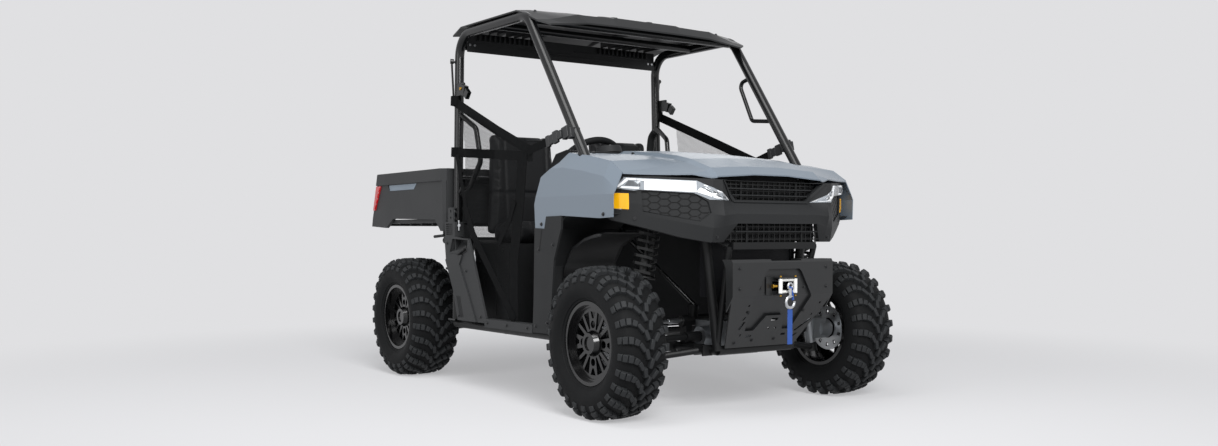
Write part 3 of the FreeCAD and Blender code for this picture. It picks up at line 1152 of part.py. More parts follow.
def backrest(side):
    """One backrest, leaning back a little and narrower at its top."""
    x = SEAT_CENTRE_X
    low, high = SEAT_BASE_TOP_Z + 30, BACKREST_TOP_Z
    y0, y1 = CAGE_REAR_Y - 128, CAGE_REAR_Y - 66
    lean = 38
    wide, narrow = SEAT_WIDTH / 2, SEAT_WIDTH / 2 - 40
    back = y1 - lean + 40
    section_low = [(x - wide, y0, low), (x + wide, y0, low), (x + wide, back, low), (x - wide, back, low)]
    section_high = [(x - narrow, y0 + lean, high), (x + narrow, y0 + lean, high),
                    (x + narrow, y1 + lean, high), (x - narrow, y1 + lean, high)]
    section_low = [(x, min(y, y1 - 4), z) for x, y, z in section_low]
    return on_side(lofted([section_low, section_high]), side)


def rear_side_panel():
    """The dark panel behind the door opening: faceted skin, hollow recess and the vent box above it."""
    r = CAGE_REAR_Y
    x0, x1 = SIDE_PANEL_X - 12, SIDE_PANEL_X - 2
    skin = prism_x([
        (r - 374, 324), (r - 374, 349), (r - 212, 708), (r - 72, 722), (r + 44, 722), (r + 30, 609),
        (r - 52, 465), (r - 98, 324),
    ], x0, x1)
    raised = prism_x([
        (r - 282, 324), (r - 207, 451), (r - 118, 588), (r - 150, 636), (r - 10, 640), (r + 26, 609),
        (r - 54, 467), (r - 100, 324),
    ], x1 - 1, x1 + 6)
    recess = prism_x([(r - 190, 668), (r - 200, 706), (r - 40, 712), (r - 10, 648)], x0 - 2, x1 + 10)
    rim = [(-194, 660), (-204, 712), (-34, 718), (-2, 640)]
    back = [(-170, 690), (-180, 712), (-60, 718), (-40, 690)]
    floor = lofted([[(x0, r + y, z) for y, z in rim], [(x0 - 34, r + y, z) for y, z in back]])
    rim = [(-190, 668), (-200, 708), (-40, 714), (-10, 648)]
    back = [(-168, 694), (-178, 708), (-64, 714), (-44, 694)]
    inside = lofted([[(x0 + 0.1, r + y, z) for y, z in rim], [(x0 - 30, r + y, z) for y, z in back]])
    vent = box(x0 - 40, x1, r - 68, r + 38, 722, 793)
    slots = [box(x1 - 8, x1 + 2, r - 44, r + 26, 732 + i * 9.5, 736.5 + i * 9.5) for i in range(VENT_SLOTS)]
    holes = [rod((x1 - 20, r - 22, z), (x1 + 4, r - 22, z), 14) for z in (812, 844)]
    bracket = without(box(x1 - 10, x1 - 2, r - 50, r + 6, 793, 862), *holes)
    flange = box(548, x0, r - 56, r - 50, 360, 780)
    panel = without(joined([skin, raised]), recess)
    body = joined([panel, without(floor, inside), without(vent, *slots), bracket, flange])
    return without(body, cage_clearance(3))


def hip_bars():
    """The bent restraint tube beside each seat."""
    r = CAGE_REAR_Y
    bar = tube([
        (590, r - 14, 1310), (570, r - 130, 1240), (562, r - 160, 1080), (570, r - 60, 960),
        (596, r - 14, 930),
    ], 25, 40)
    return without(both(bar), cage_clearance(0.0))


def side_net(side):
    """The net across the upper door opening, as a thin panel between its straps."""
    r = CAGE_REAR_Y
    f = FRONT_AXLE_Y
    outline = [(r - 30, 1360), (f + 440, 1085), (f + 445, 1050), (r - 620, 880),
               (r - 622, ROCKER_TOP_Z + PIN_CLEARANCE),
               (r - 590, ROCKER_TOP_Z + PIN_CLEARANCE), (r - 40, 900)]
    panel = prism_x(outline, SIDE_PANEL_X - 24, SIDE_PANEL_X - 20)
    return on_side(panel, side)


def front_gearcase():
    """The front differential between the lower rails."""
    f = FRONT_AXLE_Y
    body = box(-110, 110, f - 75, f + 75, LOWER_RAIL_Z - 35, AXLE_Z + 65)
    ends = rod((-150, f, AXLE_Z), (150, f, AXLE_Z), 84)
    return joined([body, ends, gearcase_mount(f + 40)])


def half_shafts(axle_y, track, inner_x, end_gap):
    """The two drive shafts of an axle with their boots."""
    outer_x = track / 2 - end_gap
    shaft = rod((inner_x, axle_y, AXLE_Z), (outer_x, axle_y, AXLE_Z), 26)
    boots = []
    for x0, x1, diameter in ((inner_x, inner_x + 75, 44), (outer_x - 90, outer_x - 20, 50)):
        boots.append(rod((x0, axle_y, AXLE_Z), (x1, axle_y, AXLE_Z), diameter))
    return both(joined([shaft] + boots))


def rear_gearcase():
    """The transaxle between the rear lower rails."""
    r = REAR_AXLE_Y
    body = box(-135, 135, r - 120, r + 95, LOWER_RAIL_Z - 30, 460)
    ends = rod((-165, r, AXLE_Z), (165, r, AXLE_Z), 92)
    return joined([body, ends, gearcase_mount(r + 60)])


def gearcase_mount(y):
    """The cross bolt that hangs a gearcase between the lower rails."""
    reach = LOWER_RAIL_X - FRAME_TUBE / 2
    return rod((-reach, y, LOWER_RAIL_Z), (reach, y, LOWER_RAIL_Z), 24)


def engine_block():
    """The engine as a plain block ahead of the transaxle."""
    r = REAR_AXLE_Y
    return box(-150, 150, CAGE_REAR_Y + 20, r - 120, LOWER_RAIL_Z - 12, 640)


def muffler():
    """The round exhaust silencer across the rear."""
    r = REAR_AXLE_Y
    can = rod((-170, r + 148, 560), (150, r + 148, 560), 130)
    tail = tube([(150, r + 148, 560), (210, r + 148, 560), (210, r + 240, 545)], 38, 30)
    pipe = rod((-60, r - 120, 560), (-60, r + 120, 560), 36)
    hanger = both(box(120, 126, r + 140, r + 156, 600, BED_RAIL_Z - 12))
    return joined([can, tail, pipe, hanger])


def rear_hubs():
    """The rear hub carriers with their bearings."""
    track = REAR_TRACK / 2
    r = REAR_AXLE_Y
    bearing = rod((track - 95, r, AXLE_Z), (track - 30, r, AXLE_Z), 84)
    plate = box(track - 92, track - 72, r - 40, r + 40, AXLE_Z - 95, AXLE_Z + 95)
    bore = rod((track - 120, r, AXLE_Z), (track - 20, r, AXLE_Z), 2 * (STUB_AXLE_RADIUS + PIN_CLEARANCE))
    return both(without(joined([bearing, plate]), bore))


def rear_arms():
    """Upper and lower rear arms, left and right."""
    r = REAR_AXLE_Y
    outer_x = REAR_TRACK / 2 - 92 - 15
    arms = []
    lower = (AXLE_Z - 75, LOWER_RAIL_X + ARM_PIVOT_OFFSET, LOWER_RAIL_Z)
    upper = (AXLE_Z + 78, UPPER_ARM_PIVOT_X, UPPER_ARM_PIVOT_Z)
    for z_out, inner_x, z_in in (lower, upper):
        bars = []
        for reach in (-110, 110):
            bars.append(rod((inner_x, r + reach, z_in), (outer_x, r + reach * 0.25, z_out), 26))
            bars.append(rod((inner_x, r + reach - 20, z_in), (inner_x, r + reach + 20, z_in), 32))
        bars.append(rod((outer_x, r - 34, z_out), (outer_x, r + 34, z_out), 30))
        if z_out > AXLE_Z:
            bars.append(shock_perch())
        arms.append(joined(bars))
    return both(Part.makeCompound(arms))


def shock_perch():
    """The cross bar in the upper rear arm that the shock stands on."""
    z = SHOCK_LOW_Z - 12
    return rod((SHOCK_X, REAR_AXLE_Y - 62, z), (SHOCK_X, REAR_AXLE_Y + 62, z), 24)


def rear_shocks():
    """Rear dampers with coil springs, from the lower arms to the bed rails."""
    r = REAR_AXLE_Y
    low = V(SHOCK_X, r, SHOCK_LOW_Z)
    high = V(BED_RAIL_X + 34, r, BED_RAIL_Z - 12)
    axis = (high - low).normalize()
    length = (high - low).Length
    body = Part.makeCylinder(20, length * 0.6, low, axis)
    rod_part = Part.makeCylinder(9, length, low, axis)
    parts = [body, rod_part]
    parts.append(coil_spring(low + axis * 40, axis, length - 66, 37, 10, 6))
    for along in (34, length - 26):
        parts.append(Part.makeCylinder(45, 6, low + axis * along, axis))
    return both(without(joined(parts), shock_perch()))


def cargo_box():
    """The tipping box: ribbed floor, front wall, side walls with a rim and a wheel arch, and hinge eyes."""
    w = BED_HALF_WIDTH
    t = BED_WALL
    shell = prism_x([
        (BED_FRONT_Y, BED_FLOOR_Z), (BED_REAR_BOTTOM_Y, BED_FLOOR_Z), (BED_REAR_TOP_Y, BED_TOP_Z),
        (BED_FRONT_Y, BED_TOP_Z),
    ], t - w, w - t)
    inner_floor = BED_FLOOR_Z + BED_FLOOR_THICKNESS
    inner = box(t - w, w - t, BED_FRONT_Y + t, REAR_Y + 40, inner_floor, BED_TOP_Z + 10)
    ribs = []
    for i in range(-BED_RIBS, BED_RIBS + 1):
        x = i * BED_RIB_PITCH
        ribs.append(box(x - 12, x + 12, BED_FRONT_Y + t, BED_REAR_BOTTOM_Y - 90,
                        inner_floor, inner_floor + BED_RIB_HEIGHT))
    for i in range(BED_CROSS_RIBS):
        y = BED_FRONT_Y + 120 + i * 130
        ribs.append(box(60 - w, w - 60, y - 8, y + 8, BED_FLOOR_Z - 12, BED_FLOOR_Z))
    hinges = []
    for x in (-BED_RAIL_X, BED_RAIL_X):
        eye = rod((x - 12, BED_HINGE_Y, BED_HINGE_Z), (x + 12, BED_HINGE_Y, BED_HINGE_Z), 30)
        lug = box(x - 12, x + 12, BED_HINGE_Y - 15, BED_HINGE_Y + 15, BED_HINGE_Z, BED_FLOOR_Z + 4)
        hole = rod((x - 14, BED_HINGE_Y, BED_HINGE_Z), (x + 14, BED_HINGE_Y, BED_HINGE_Z),
                   14 + 2 * PIN_CLEARANCE)
        hinges.append(without(eye.fuse(lug), hole))
    rests = both(box(BED_RAIL_X - 14, BED_RAIL_X + 14, BED_FRONT_Y + 60, BED_FRONT_Y + 110,
                     BED_RAIL_Z + FRAME_TUBE / 2 + PIN_CLEARANCE, BED_FLOOR_Z + 2))
    rail_room = both(box(BED_RAIL_X - 30, BED_RAIL_X + 30, BED_FRONT_Y, REAR_Y,
                         BED_FLOOR_Z - 14, BED_FLOOR_Z))
    ribs = [without(rib, rail_room) for rib in ribs]
    body = joined([without(shell, inner), both(bed_side()), rests] + ribs + hinges)
    return without(body, tailgate_pins(PIN_CLEARANCE))


def bed_side():
    """The left side wall: a rim, a pressed strip below it, a chamfered front and the arch cut-out."""
    w = BED_HALF_WIDTH
    y0, y1, y2 = BED_FRONT_Y, BED_REAR_TOP_Y, BED_REAR_BOTTOM_Y
    skin = [
        (y0 + 12, BED_TOP_Z - 5), (y0 + 12, BED_FLOOR_Z - 37), (y0 + 48, BED_FLOOR_Z - 41),
        (y0 + 111, BED_FLOOR_Z + 16),
        (y0 + 611, BED_FLOOR_Z + 25), (y0 + 704, BED_FLOOR_Z - 23), (y2 + 4, BED_FLOOR_Z - 14),
        (y2 - 6, BED_FLOOR_Z + 27), (y1, BED_TOP_Z - 5),
    ]
    wall = prism_x(skin, w - BED_WALL, w - BED_RIM_STEP)
    rim = prism_x([
        (y0, BED_TOP_Z), (y0, BED_RIM_Z), (y1 + 20, BED_RIM_Z), (y1, BED_TOP_Z),
    ], w - BED_WALL, w)
    strip_cut = prism_x([
        (y0 + 305, BED_RIM_Z), (y0 + 344, BED_RIM_Z - 34), (y0 + 656, BED_RIM_Z - 34), (y0 + 671, BED_RIM_Z),
    ], w - BED_RIM_STEP - 4, w)
    chamfer = prism_z([(w - 34, y0 - 1), (w + 1, y0 - 1), (w + 1, y0 + 34)], BED_FLOOR_Z - 60, BED_TOP_Z + 1)
    return without(joined([wall, rim]), strip_cut, chamfer)


def tailgate_face_y(z):
    """Where the tailgate's outer face lies at a height, flush with the side walls' ends."""
    share = (z - BED_FLOOR_Z) / (BED_TOP_Z - BED_FLOOR_Z)
    return BED_REAR_BOTTOM_Y + share * (BED_REAR_TOP_Y - BED_REAR_BOTTOM_Y)


def tailgate_hinge():
    """The tailgate's hinge line as (y, z)."""
    z = BED_FLOOR_Z + BED_FLOOR_THICKNESS + TAILGATE_HINGE_RISE
    return tailgate_face_y(z) - TAILGATE_THICKNESS / 2, z


def tailgate_pins(extra=0.0):
    """The two pins on the tailgate's hinge line, as deep as the side walls allow."""
    y, z = tailgate_hinge()
    inner = BED_HALF_WIDTH - BED_WALL
    return both(rod((inner - RUNNING_GAP - 6, y, z), (inner + 14 + extra, y, z), 12 + 2 * extra))


def tailgate():
    """The tailgate panel with two pressed fields and its hinge pins above the box floor."""
    hinge_z = tailgate_hinge()[1]
    t = TAILGATE_THICKNESS
    low, high = hinge_z - 8, BED_TOP_Z - 2
    half = BED_HALF_WIDTH - BED_WALL - RUNNING_GAP

    def slab(z0, z1, back, front, x0, x1):
        """A piece of the gate between two heights, at depths measured in from its outer face."""
        return prism_x([
            (tailgate_face_y(z0) - front, z0), (tailgate_face_y(z0) - back, z0),
            (tailgate_face_y(z1) - back, z1), (tailgate_face_y(z1) - front, z1),
        ], x0, x1)

    fields = both(slab(low + 40, high - 50, -1, 8, 60, half - 60))
    return joined([without(slab(low, high, 0, t, -half, half), fields), tailgate_pins()])


def tail_lamps():
    """A red lamp on each rear corner of the cargo box."""
    x = BED_HALF_WIDTH - BED_RIM_STEP
    return both(prism_x([
        (BED_REAR_TOP_Y - 40, BED_RIM_Z - 4), (BED_REAR_TOP_Y + 20, BED_RIM_Z - 4),
        (BED_REAR_TOP_Y + 64, 862),
        (BED_REAR_TOP_Y + 40, 862),
    ], x, x + 6))


def bed_latches():
    """The release handle under each front corner of the cargo box."""
    y = BED_FRONT_Y + 30
    top = BED_FLOOR_Z - 40.1
    return both(tube([(641, y, top), (641, y, top - 22), (650, y + 90, top - 28)], 14, 14))


def hitch_receiver():
    """The square receiver tube under the rear, with its cross pin hole."""
    outer = box(-31.75, 31.75, REAR_AXLE_Y + 240, REAR_Y, 372, 435.5)
    inner = box(-25.7, 25.7, REAR_AXLE_Y + 250, REAR_Y + 1, 378, 429.4)
    pin = rod((-40, REAR_Y - 60, 403.7), (40, REAR_Y - 60, 403.7), 16)
    y0, y1 = REAR_AXLE_Y + 214.3, REAR_AXLE_Y + 240
    brace = box(-LOWER_RAIL_X + 30, LOWER_RAIL_X - 30, y0, y1, 372, 435.5)
    legs = both(box(LOWER_RAIL_X - 60, LOWER_RAIL_X - 30, y0, y1, LOWER_RAIL_Z - 20, 435))
    return without(joined([outer, brace, legs]), inner, pin)


def build():
    """Every sub-part by name."""
    nodes = {
        "main_frame": main_frame(),
        "roll_cage": roll_cage(),
        "roof": roof(),
        "bonnet": bonnet(),
        "bumper_fascia": bumper_fascia(),
        "grille": grille(),
        "front_lamps": front_lamps(),
        "winch_plate": winch_plate(),
        "winch": winch(),
        "fairlead": fairlead(),
        "winch_hook": winch_hook(),
        "hook_strap": hook_strap(),
        "radiator": radiator(),
        "dash": dash(),
        "cab_floor": cab_floor(),
        "seat_base": seat_base(),
        "grab_bars": Part.makeCompound([hip_bars(), hand_hold(), grab_handle()]),
        "steering_column": steering_column(),
        "steering_wheel": steering_wheel(),
        "steering_rack": steering_rack(),
        "rack_housing": rack_housing(),
        "front_arms": front_arms(),
        "gearcases": Part.makeCompound([front_gearcase(), rear_gearcase()]),
        "half_shafts": Part.makeCompound([
            half_shafts(FRONT_AXLE_Y, FRONT_TRACK, 150, 170), half_shafts(REAR_AXLE_Y, REAR_TRACK, 165, 95),
        ]),
        "engine_block": engine_block(),
        "muffler": muffler(),
        "rear_hubs": rear_hubs(),
        "rear_arms": rear_arms(),
        "rear_shocks": rear_shocks(),
        "cargo_box": cargo_box(),
        "tailgate": tailgate(),
        "tail_lamps": tail_lamps(),
        "bed_latches": bed_latches(),
        "hitch_receiver": hitch_receiver(),
        "front_side_panels": both(front_side_panel()),
        "front_skirts": both(front_skirt()),
        "rocker_panels": both(rocker_panel()),
        "rear_side_panels": both(rear_side_panel()),
    }
    front_tyre = tyre(FRONT_TYRE_WIDTH, FRONT_RIM_HALF_WIDTH)
    rear_tyre = tyre(REAR_TYRE_WIDTH, REAR_RIM_HALF_WIDTH)
    front_wheel = wheel(FRONT_RIM_HALF_WIDTH, 90)
    rear_wheel = wheel(REAR_RIM_HALF_WIDTH, 92)
    for name, side in SIDES.items():
        front = (side * FRONT_TRACK / 2, FRONT_AXLE_Y, AXLE_Z)
        rear = (side * REAR_TRACK / 2, REAR_AXLE_Y, AXLE_Z)
        nodes["tyre_front_" + name] = moved(on_side(front_tyre, side), front)
        nodes["tyre_rear_" + name] = moved(on_side(rear_tyre, side), rear)
        nodes["wheel_front_" + name] = moved(on_side(front_wheel, side), front)
        nodes["wheel_rear_" + name] = moved(on_side(rear_wheel, side), rear)
        nodes["knuckle_" + name] = front_knuckle(side)
        nodes["strut_" + name] = front_strut(side)
        nodes["seat_cushion_" + name] = seat_cushion(side)
        nodes["backrest_" + name] = backrest(side)
        nodes["side_net_" + name] = side_net(side)
    return nodes


def main():
    """Write one STEP file per sub-part."""
    os.makedirs("parts", exist_ok=True)
    for name, shape in build().items():
        shape.exportStep("parts/" + name + ".step")


main()
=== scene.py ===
"""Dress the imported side-by-side vehicle: finishes on its nodes, and the soft, small and moulded pieces.

Places are in the part's own frame: +Z is up with the floor at z = 0, the front faces -Y and +X is the
vehicle's left. Values are in metres unless they say mm. A table for a piece on both sides is for the left one.
"""
import itertools
import math

import bmesh
import bpy
from mathutils import Matrix, Vector
from mathutils.bvhtree import BVHTree


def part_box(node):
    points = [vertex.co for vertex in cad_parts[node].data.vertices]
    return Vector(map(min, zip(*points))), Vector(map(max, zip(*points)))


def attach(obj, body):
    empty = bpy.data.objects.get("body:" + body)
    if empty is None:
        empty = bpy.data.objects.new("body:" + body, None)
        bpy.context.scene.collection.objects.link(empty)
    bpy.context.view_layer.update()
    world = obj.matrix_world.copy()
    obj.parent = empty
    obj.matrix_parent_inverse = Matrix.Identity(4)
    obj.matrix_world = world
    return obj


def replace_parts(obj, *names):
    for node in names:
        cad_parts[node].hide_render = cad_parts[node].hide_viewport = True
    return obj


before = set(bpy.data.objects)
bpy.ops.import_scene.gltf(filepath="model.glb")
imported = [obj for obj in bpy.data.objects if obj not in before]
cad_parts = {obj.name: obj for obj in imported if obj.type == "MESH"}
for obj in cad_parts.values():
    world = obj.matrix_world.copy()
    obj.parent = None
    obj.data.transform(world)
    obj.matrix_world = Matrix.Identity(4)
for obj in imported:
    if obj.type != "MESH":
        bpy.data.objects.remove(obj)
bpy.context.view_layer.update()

bl_info = {
    "name": "Side-by-Side Vehicle",
    "version": (1, 0, 0),
    "blender": (4, 5, 0),
    "location": "View3D > Sidebar > Vehicle",
    "description": "Builds the finishes, soft goods and fittings of a side-by-side utility vehicle",
    "category": "Object",
}

MM = 0.001
SIDES = (("left", 1), ("right", -1))
FORWARD_TO_BACK = (0, 1, 0)
DOWN = (0, 0, -1)


def linear(hex_colour):
    """An sRGB hex colour as linear red, green and blue."""
    channels = [int(hex_colour[i:i + 2], 16) / 255 for i in (1, 3, 5)]
    return [c / 12.92 if c <= 0.04045 else ((c + 0.055) / 1.055) ** 2.4 for c in channels]


def colour_property(name, description, hex_colour):
    """A colour that a user may change."""
    return bpy.props.FloatVectorProperty(
        name=name, description=description, subtype="COLOR", size=3, min=0, max=1, default=linear(hex_colour))


def length_property(name, description, millimetres):
    """A length that a user may change, in metres."""
    return bpy.props.FloatProperty(
        name=name, description=description, subtype="DISTANCE", unit="LENGTH", min=0.0001,
        default=millimetres * MM)


class VehicleColours(bpy.types.PropertyGroup):
    """Colours of the vehicle's finishes."""

    paint: colour_property("Body Paint", "Bonnet and front side panels", "#6C7782")
    plastic: colour_property("Moulded Plastic", "Bumper, skirts, dash and cab floor", "#252627")
    roof: colour_property("Roof Plastic", "Roof panel", "#1B1C1D")
    tube: colour_property("Tube Coating", "Roll cage and grab bars", "#0B0C0D")
    rubber: colour_property("Tyre Rubber", "Tyres and boots", "#101112")
    seat: colour_property("Seat Cover", "Seats", "#141517")
    webbing: colour_property("Webbing", "Net straps", "#08090A")
    strap: colour_property("Hook Strap", "Pull strap on the winch hook", "#174A9C")
    floor: colour_property("Studio Floor", "Floor and backdrop", "#E0E0E2")


class VehicleSizes(bpy.types.PropertyGroup):
    """Sizes of the fittings that lie over the frame."""

    strap_thickness: length_property("Net Strap Thickness", "Thickness of the webbing", 2)
    net_cell: length_property("Net Cell", "Spacing of the net's cords", 6)
    net_cord: length_property("Net Cord", "Thickness of the net's cords", 1.2)


# Materials

def add_node(tree, kind, inputs=(), **settings):
    """A new node with its settings, its inputs set or linked from other nodes' outputs."""
    node = tree.nodes.new(kind)
    for name, value in settings.items():
        setattr(node, name, value)
    for socket, value in dict(inputs).items():
        if isinstance(value, bpy.types.NodeSocket):
            tree.links.new(value, node.inputs[socket])
        else:
            node.inputs[socket].default_value = value
    return node


def rgba(colour):
    """A colour with full alpha."""
    return (*colour[:3], 1.0)


def shaded(colour, factor):
    """A colour made lighter or darker."""
    return [min(c * factor, 1.0) for c in colour]


def material(name, colour, roughness, grain, tone, cells=False, **shader):
    """A surface with its grain as bump and a slow change of tone.

    The grain is its width and depth in mm, and the tone is its spread and its width in mm.
    """
    grain_mm, depth_mm = grain
    spread, mottle_mm = tone
    mat = bpy.data.materials.new(name)
    mat.use_nodes = True
    tree = mat.node_tree
    bsdf = tree.nodes["Principled BSDF"]
    coords = add_node(tree, "ShaderNodeTexCoord").outputs["Object"]
    mottle = add_node(tree, "ShaderNodeTexNoise", {
        "Vector": coords, "Scale": 1 / (mottle_mm * MM), "Detail": 3.0}).outputs["Fac"]
    base = add_node(tree, "ShaderNodeMix", {
        "Factor": mottle, "A": rgba(shaded(colour, 1 - spread)), "B": rgba(shaded(colour, 1 + spread)),
    }, data_type="RGBA")
    tree.links.new(base.outputs["Result"], bsdf.inputs["Base Color"])
    pattern = {"Vector": coords, "Scale": 1 / (grain_mm * MM)}
    if cells:
        height = add_node(tree, "ShaderNodeTexVoronoi", pattern).outputs["Distance"]
    else:
        height = add_node(tree, "ShaderNodeTexNoise", {**pattern, "Detail": 2.0}).outputs["Fac"]
    rough = add_node(tree, "ShaderNodeMapRange", {
        "Value": mottle, "To Min": roughness * 0.85, "To Max": min(roughness * 1.15, 1.0)})
    tree.links.new(rough.outputs["Result"], bsdf.inputs["Roughness"])
    bump = add_node(tree, "ShaderNodeBump", {"Height": height, "Distance": depth_mm * MM, "Strength": 1.0})
    tree.links.new(bump.outputs["Normal"], bsdf.inputs["Normal"])
    for socket, value in shader.items():
        bsdf.inputs[socket.replace("_", " ")].default_value = value
    return mat


def surfaces(colours):
    """Each material's settings by name, worked out from what the real surface is and how it was made."""
    return {
        # Satin metallic enamel on moulded bonnet panels: smooth, with a clear coat's soft gloss.
        "satin_enamel": dict(
            colour=colours.paint, roughness=0.42, grain=(3.0, 0.004), tone=(0.03, 400), Coat_Weight=0.4,
            Coat_Roughness=0.2),
        # Grained polypropylene mouldings: a fine pebble that breaks up the highlights.
        "grained_polypropylene": dict(
            colour=colours.plastic, roughness=0.55, grain=(1.6, 0.10), tone=(0.05, 120), cells=True,
            Specular_IOR_Level=0.2),
        # Rotation-moulded cargo box and side covers, paler and flatter than the bumper's grain.
        "moulded_polyethylene": dict(
            colour=linear("#333435"), roughness=0.5, grain=(1.8, 0.06), tone=(0.05, 140),
            Specular_IOR_Level=0.2),
        # Sheet steel in a satin dip coat: smoother than the mouldings, with a soft sheen.
        "coated_sheet": dict(
            colour=linear("#1E1F20"), roughness=0.4, grain=(2.0, 0.01), tone=(0.10, 120),
            Specular_IOR_Level=0.5),
        # Blow-moulded roof: smoother plastic, a little glossier than the body mouldings.
        "roof_polyethylene": dict(
            colour=colours.roof, roughness=0.42, grain=(2.2, 0.05), tone=(0.05, 150),
            Specular_IOR_Level=0.35),
        # Powder-coated steel tube: slight orange peel, semi-gloss.
        "powder_coated_steel": dict(
            colour=colours.tube, roughness=0.24, grain=(2.4, 0.001), tone=(0.06, 90),
            Specular_IOR_Level=0.45),
        # Semi-matt black enamel on springs, links and frame rails, greyed by road film.
        "chassis_black": dict(
            colour=linear("#0D0E0F"), roughness=0.5, grain=(1.8, 0.02), tone=(0.3, 60),
            Specular_IOR_Level=0.35),
        # Tyre rubber, moulded and matt with a dusty bloom.
        "moulded_rubber": dict(
            colour=colours.rubber, roughness=0.72, grain=(1.2, 0.06), tone=(0.18, 45),
            Specular_IOR_Level=0.18),
        # The same rubber made paler on the lug blocks: painted light, a lit copy of the carcass's rubber for
        # the light on the raised blocks.
        "lit_tread_rubber": dict(
            colour=shaded(colours.rubber, 3.4), roughness=0.66, grain=(1.6, 0.10), tone=(0.15, 30),
            Specular_IOR_Level=0.3),
        # Gloss black enamel on cast aluminium wheels: hard highlights on the rims' edges.
        "gloss_black_enamel": dict(
            colour=linear("#070708"), roughness=0.2, grain=(6.0, 0.004), tone=(0.04, 200), Coat_Weight=0.3,
            Coat_Roughness=0.06),
        # Sand-cast aluminium housings: dull, with a rough skin.
        "cast_aluminium": dict(
            colour=linear("#8D9093"), roughness=0.48, grain=(1.8, 0.12), tone=(0.12, 50), Metallic=0.9),
        # Bright zinc plating on hooks, pins and rods.
        "zinc_plated_steel": dict(
            colour=linear("#CACCCE"), roughness=0.3, grain=(1.4, 0.02), tone=(0.10, 25), Metallic=1.0),
        # Brazed and painted aluminium fins behind the grille: dark, with a coarse break-up.
        "radiator_core": dict(
            colour=linear("#15161A"), roughness=0.5, grain=(2.5, 0.6), tone=(0.15, 40), Metallic=0.4),
        # Clear moulded polycarbonate over a silvered reflector: bright and glossy.
        "clear_cover": dict(
            colour=linear("#A9AFB5"), roughness=0.12, grain=(9.0, 0.05), tone=(0.10, 25), Metallic=0.4,
            Coat_Weight=0.8),
        # The lamp's inner housing, smoked behind its clear cover.
        "smoked_housing": dict(
            colour=linear("#6C7074"), roughness=0.18, grain=(5.0, 0.05), tone=(0.35, 14), Metallic=0.5,
            Coat_Weight=0.8),
        # Red acrylic lens with moulded prisms, which show as a fine sparkle.
        "red_acrylic": dict(
            colour=linear("#C4161C"), roughness=0.18, grain=(4.0, 0.3), tone=(0.10, 30), cells=True,
            Coat_Weight=0.7),
        # Amber acrylic reflector with the same kind of prisms.
        "amber_acrylic": dict(
            colour=linear("#FFB804"), roughness=0.2, grain=(3.0, 0.3), tone=(0.08, 20), cells=True,
            Coat_Weight=0.7),
        # Woven polyester webbing: matt, its weave drawn at 1.5 mm so that it shows.
        "woven_webbing": dict(
            colour=colours.webbing, roughness=0.8, grain=(1.5, 0.25), tone=(0.2, 30), Specular_IOR_Level=0.1),
        # The same weave dyed blue, with a little fuzz.
        "blue_strap_webbing": dict(
            colour=colours.strap, roughness=0.7, grain=(1.5, 0.25), tone=(0.15, 20), Sheen_Weight=0.3),
        # Vinyl-coated seat cloth with an embossed leather grain.
        "grained_vinyl": dict(
            colour=colours.seat, roughness=0.55, grain=(2.6, 0.12), tone=(0.12, 80), cells=True,
            Specular_IOR_Level=0.3),
        # Milky acrylic light guide behind the lens, faintly lit.
        "light_guide": dict(
            colour=linear("#EDEFF1"), roughness=0.2, grain=(8.0, 0.05), tone=(0.02, 80), Coat_Weight=0.8,
            Emission_Color=(1.0, 1.0, 1.0, 1.0), Emission_Strength=0.12),
        # Turned nylon rollers: pale and waxy.
        "white_nylon": dict(colour=linear("#F2F2EE"), roughness=0.4, grain=(1.2, 0.03), tone=(0.05, 20)),
        # Ground steel of the brake discs, with a broad sheen.
        "ground_steel": dict(
            colour=linear("#C3C5C7"), roughness=0.38, grain=(0.8, 0.04), tone=(0.08, 18), Metallic=1.0),
        # Black oxide screws and glass-filled nylon buckles: dark, between matt and satin.
        "black_fastener": dict(colour=linear("#17181A"), roughness=0.42, grain=(0.8, 0.03), tone=(0.12, 10)),
        # The unlit inside of slots and shut lines: near black and fully matt.
        "seam_shadow": dict(colour=linear("#08090A"), roughness=0.9, grain=(1.0, 0.02), tone=(0.1, 30)),
        # Satin film inlay on the cargo box, with a slow blue-grey change of tone.
        "satin_inlay": dict(
            colour=linear("#7C8A97"), roughness=0.32, grain=(2.0, 0.01), tone=(0.2, 160), Metallic=0.3),
        # Bright turned brass pins and fittings.
        "brass": dict(
            colour=linear("#C79A3A"), roughness=0.28, grain=(1.0, 0.02), tone=(0.08, 12), Metallic=1.0),
        # Knotted nylon net cord: matt, like its webbing.
        "net_cord": dict(
            colour=colours.webbing, roughness=0.75, grain=(1.0, 0.1), tone=(0.2, 20),
            Specular_IOR_Level=0.15),
    }


# Mesh helpers

def new_piece(bm, name, finish, body="chassis", smooth_angle=35, bevel_mm=0.0, bevel_segments=2):
    """The finished piece of a mesh, riding on a body, with its faces outwards and its edges softened."""
    bmesh.ops.remove_doubles(bm, verts=bm.verts, dist=1e-6)
    bmesh.ops.recalc_face_normals(bm, faces=bm.faces)
    mesh = bpy.data.meshes.new(name)
    bm.to_mesh(mesh)
    bm.free()
    piece = bpy.data.objects.new(name, mesh)
    bpy.context.scene.collection.objects.link(piece)
    mesh.materials.append(bpy.data.materials[finish])
    if smooth_angle:
        mesh.shade_smooth()
        mesh.set_sharp_from_angle(angle=math.radians(smooth_angle))
    if bevel_mm:
        bevel = piece.modifiers.new("Edge", "BEVEL")
        bevel.width = bevel_mm * MM
        bevel.segments = bevel_segments
        bevel.limit_method = "ANGLE"
        bevel.angle_limit = math.radians(40)
    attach(piece, body)
    return piece


def new_verts(geom):
    """The vertices among what an operator made."""
    return [item for item in geom if isinstance(item, bmesh.types.BMVert)]


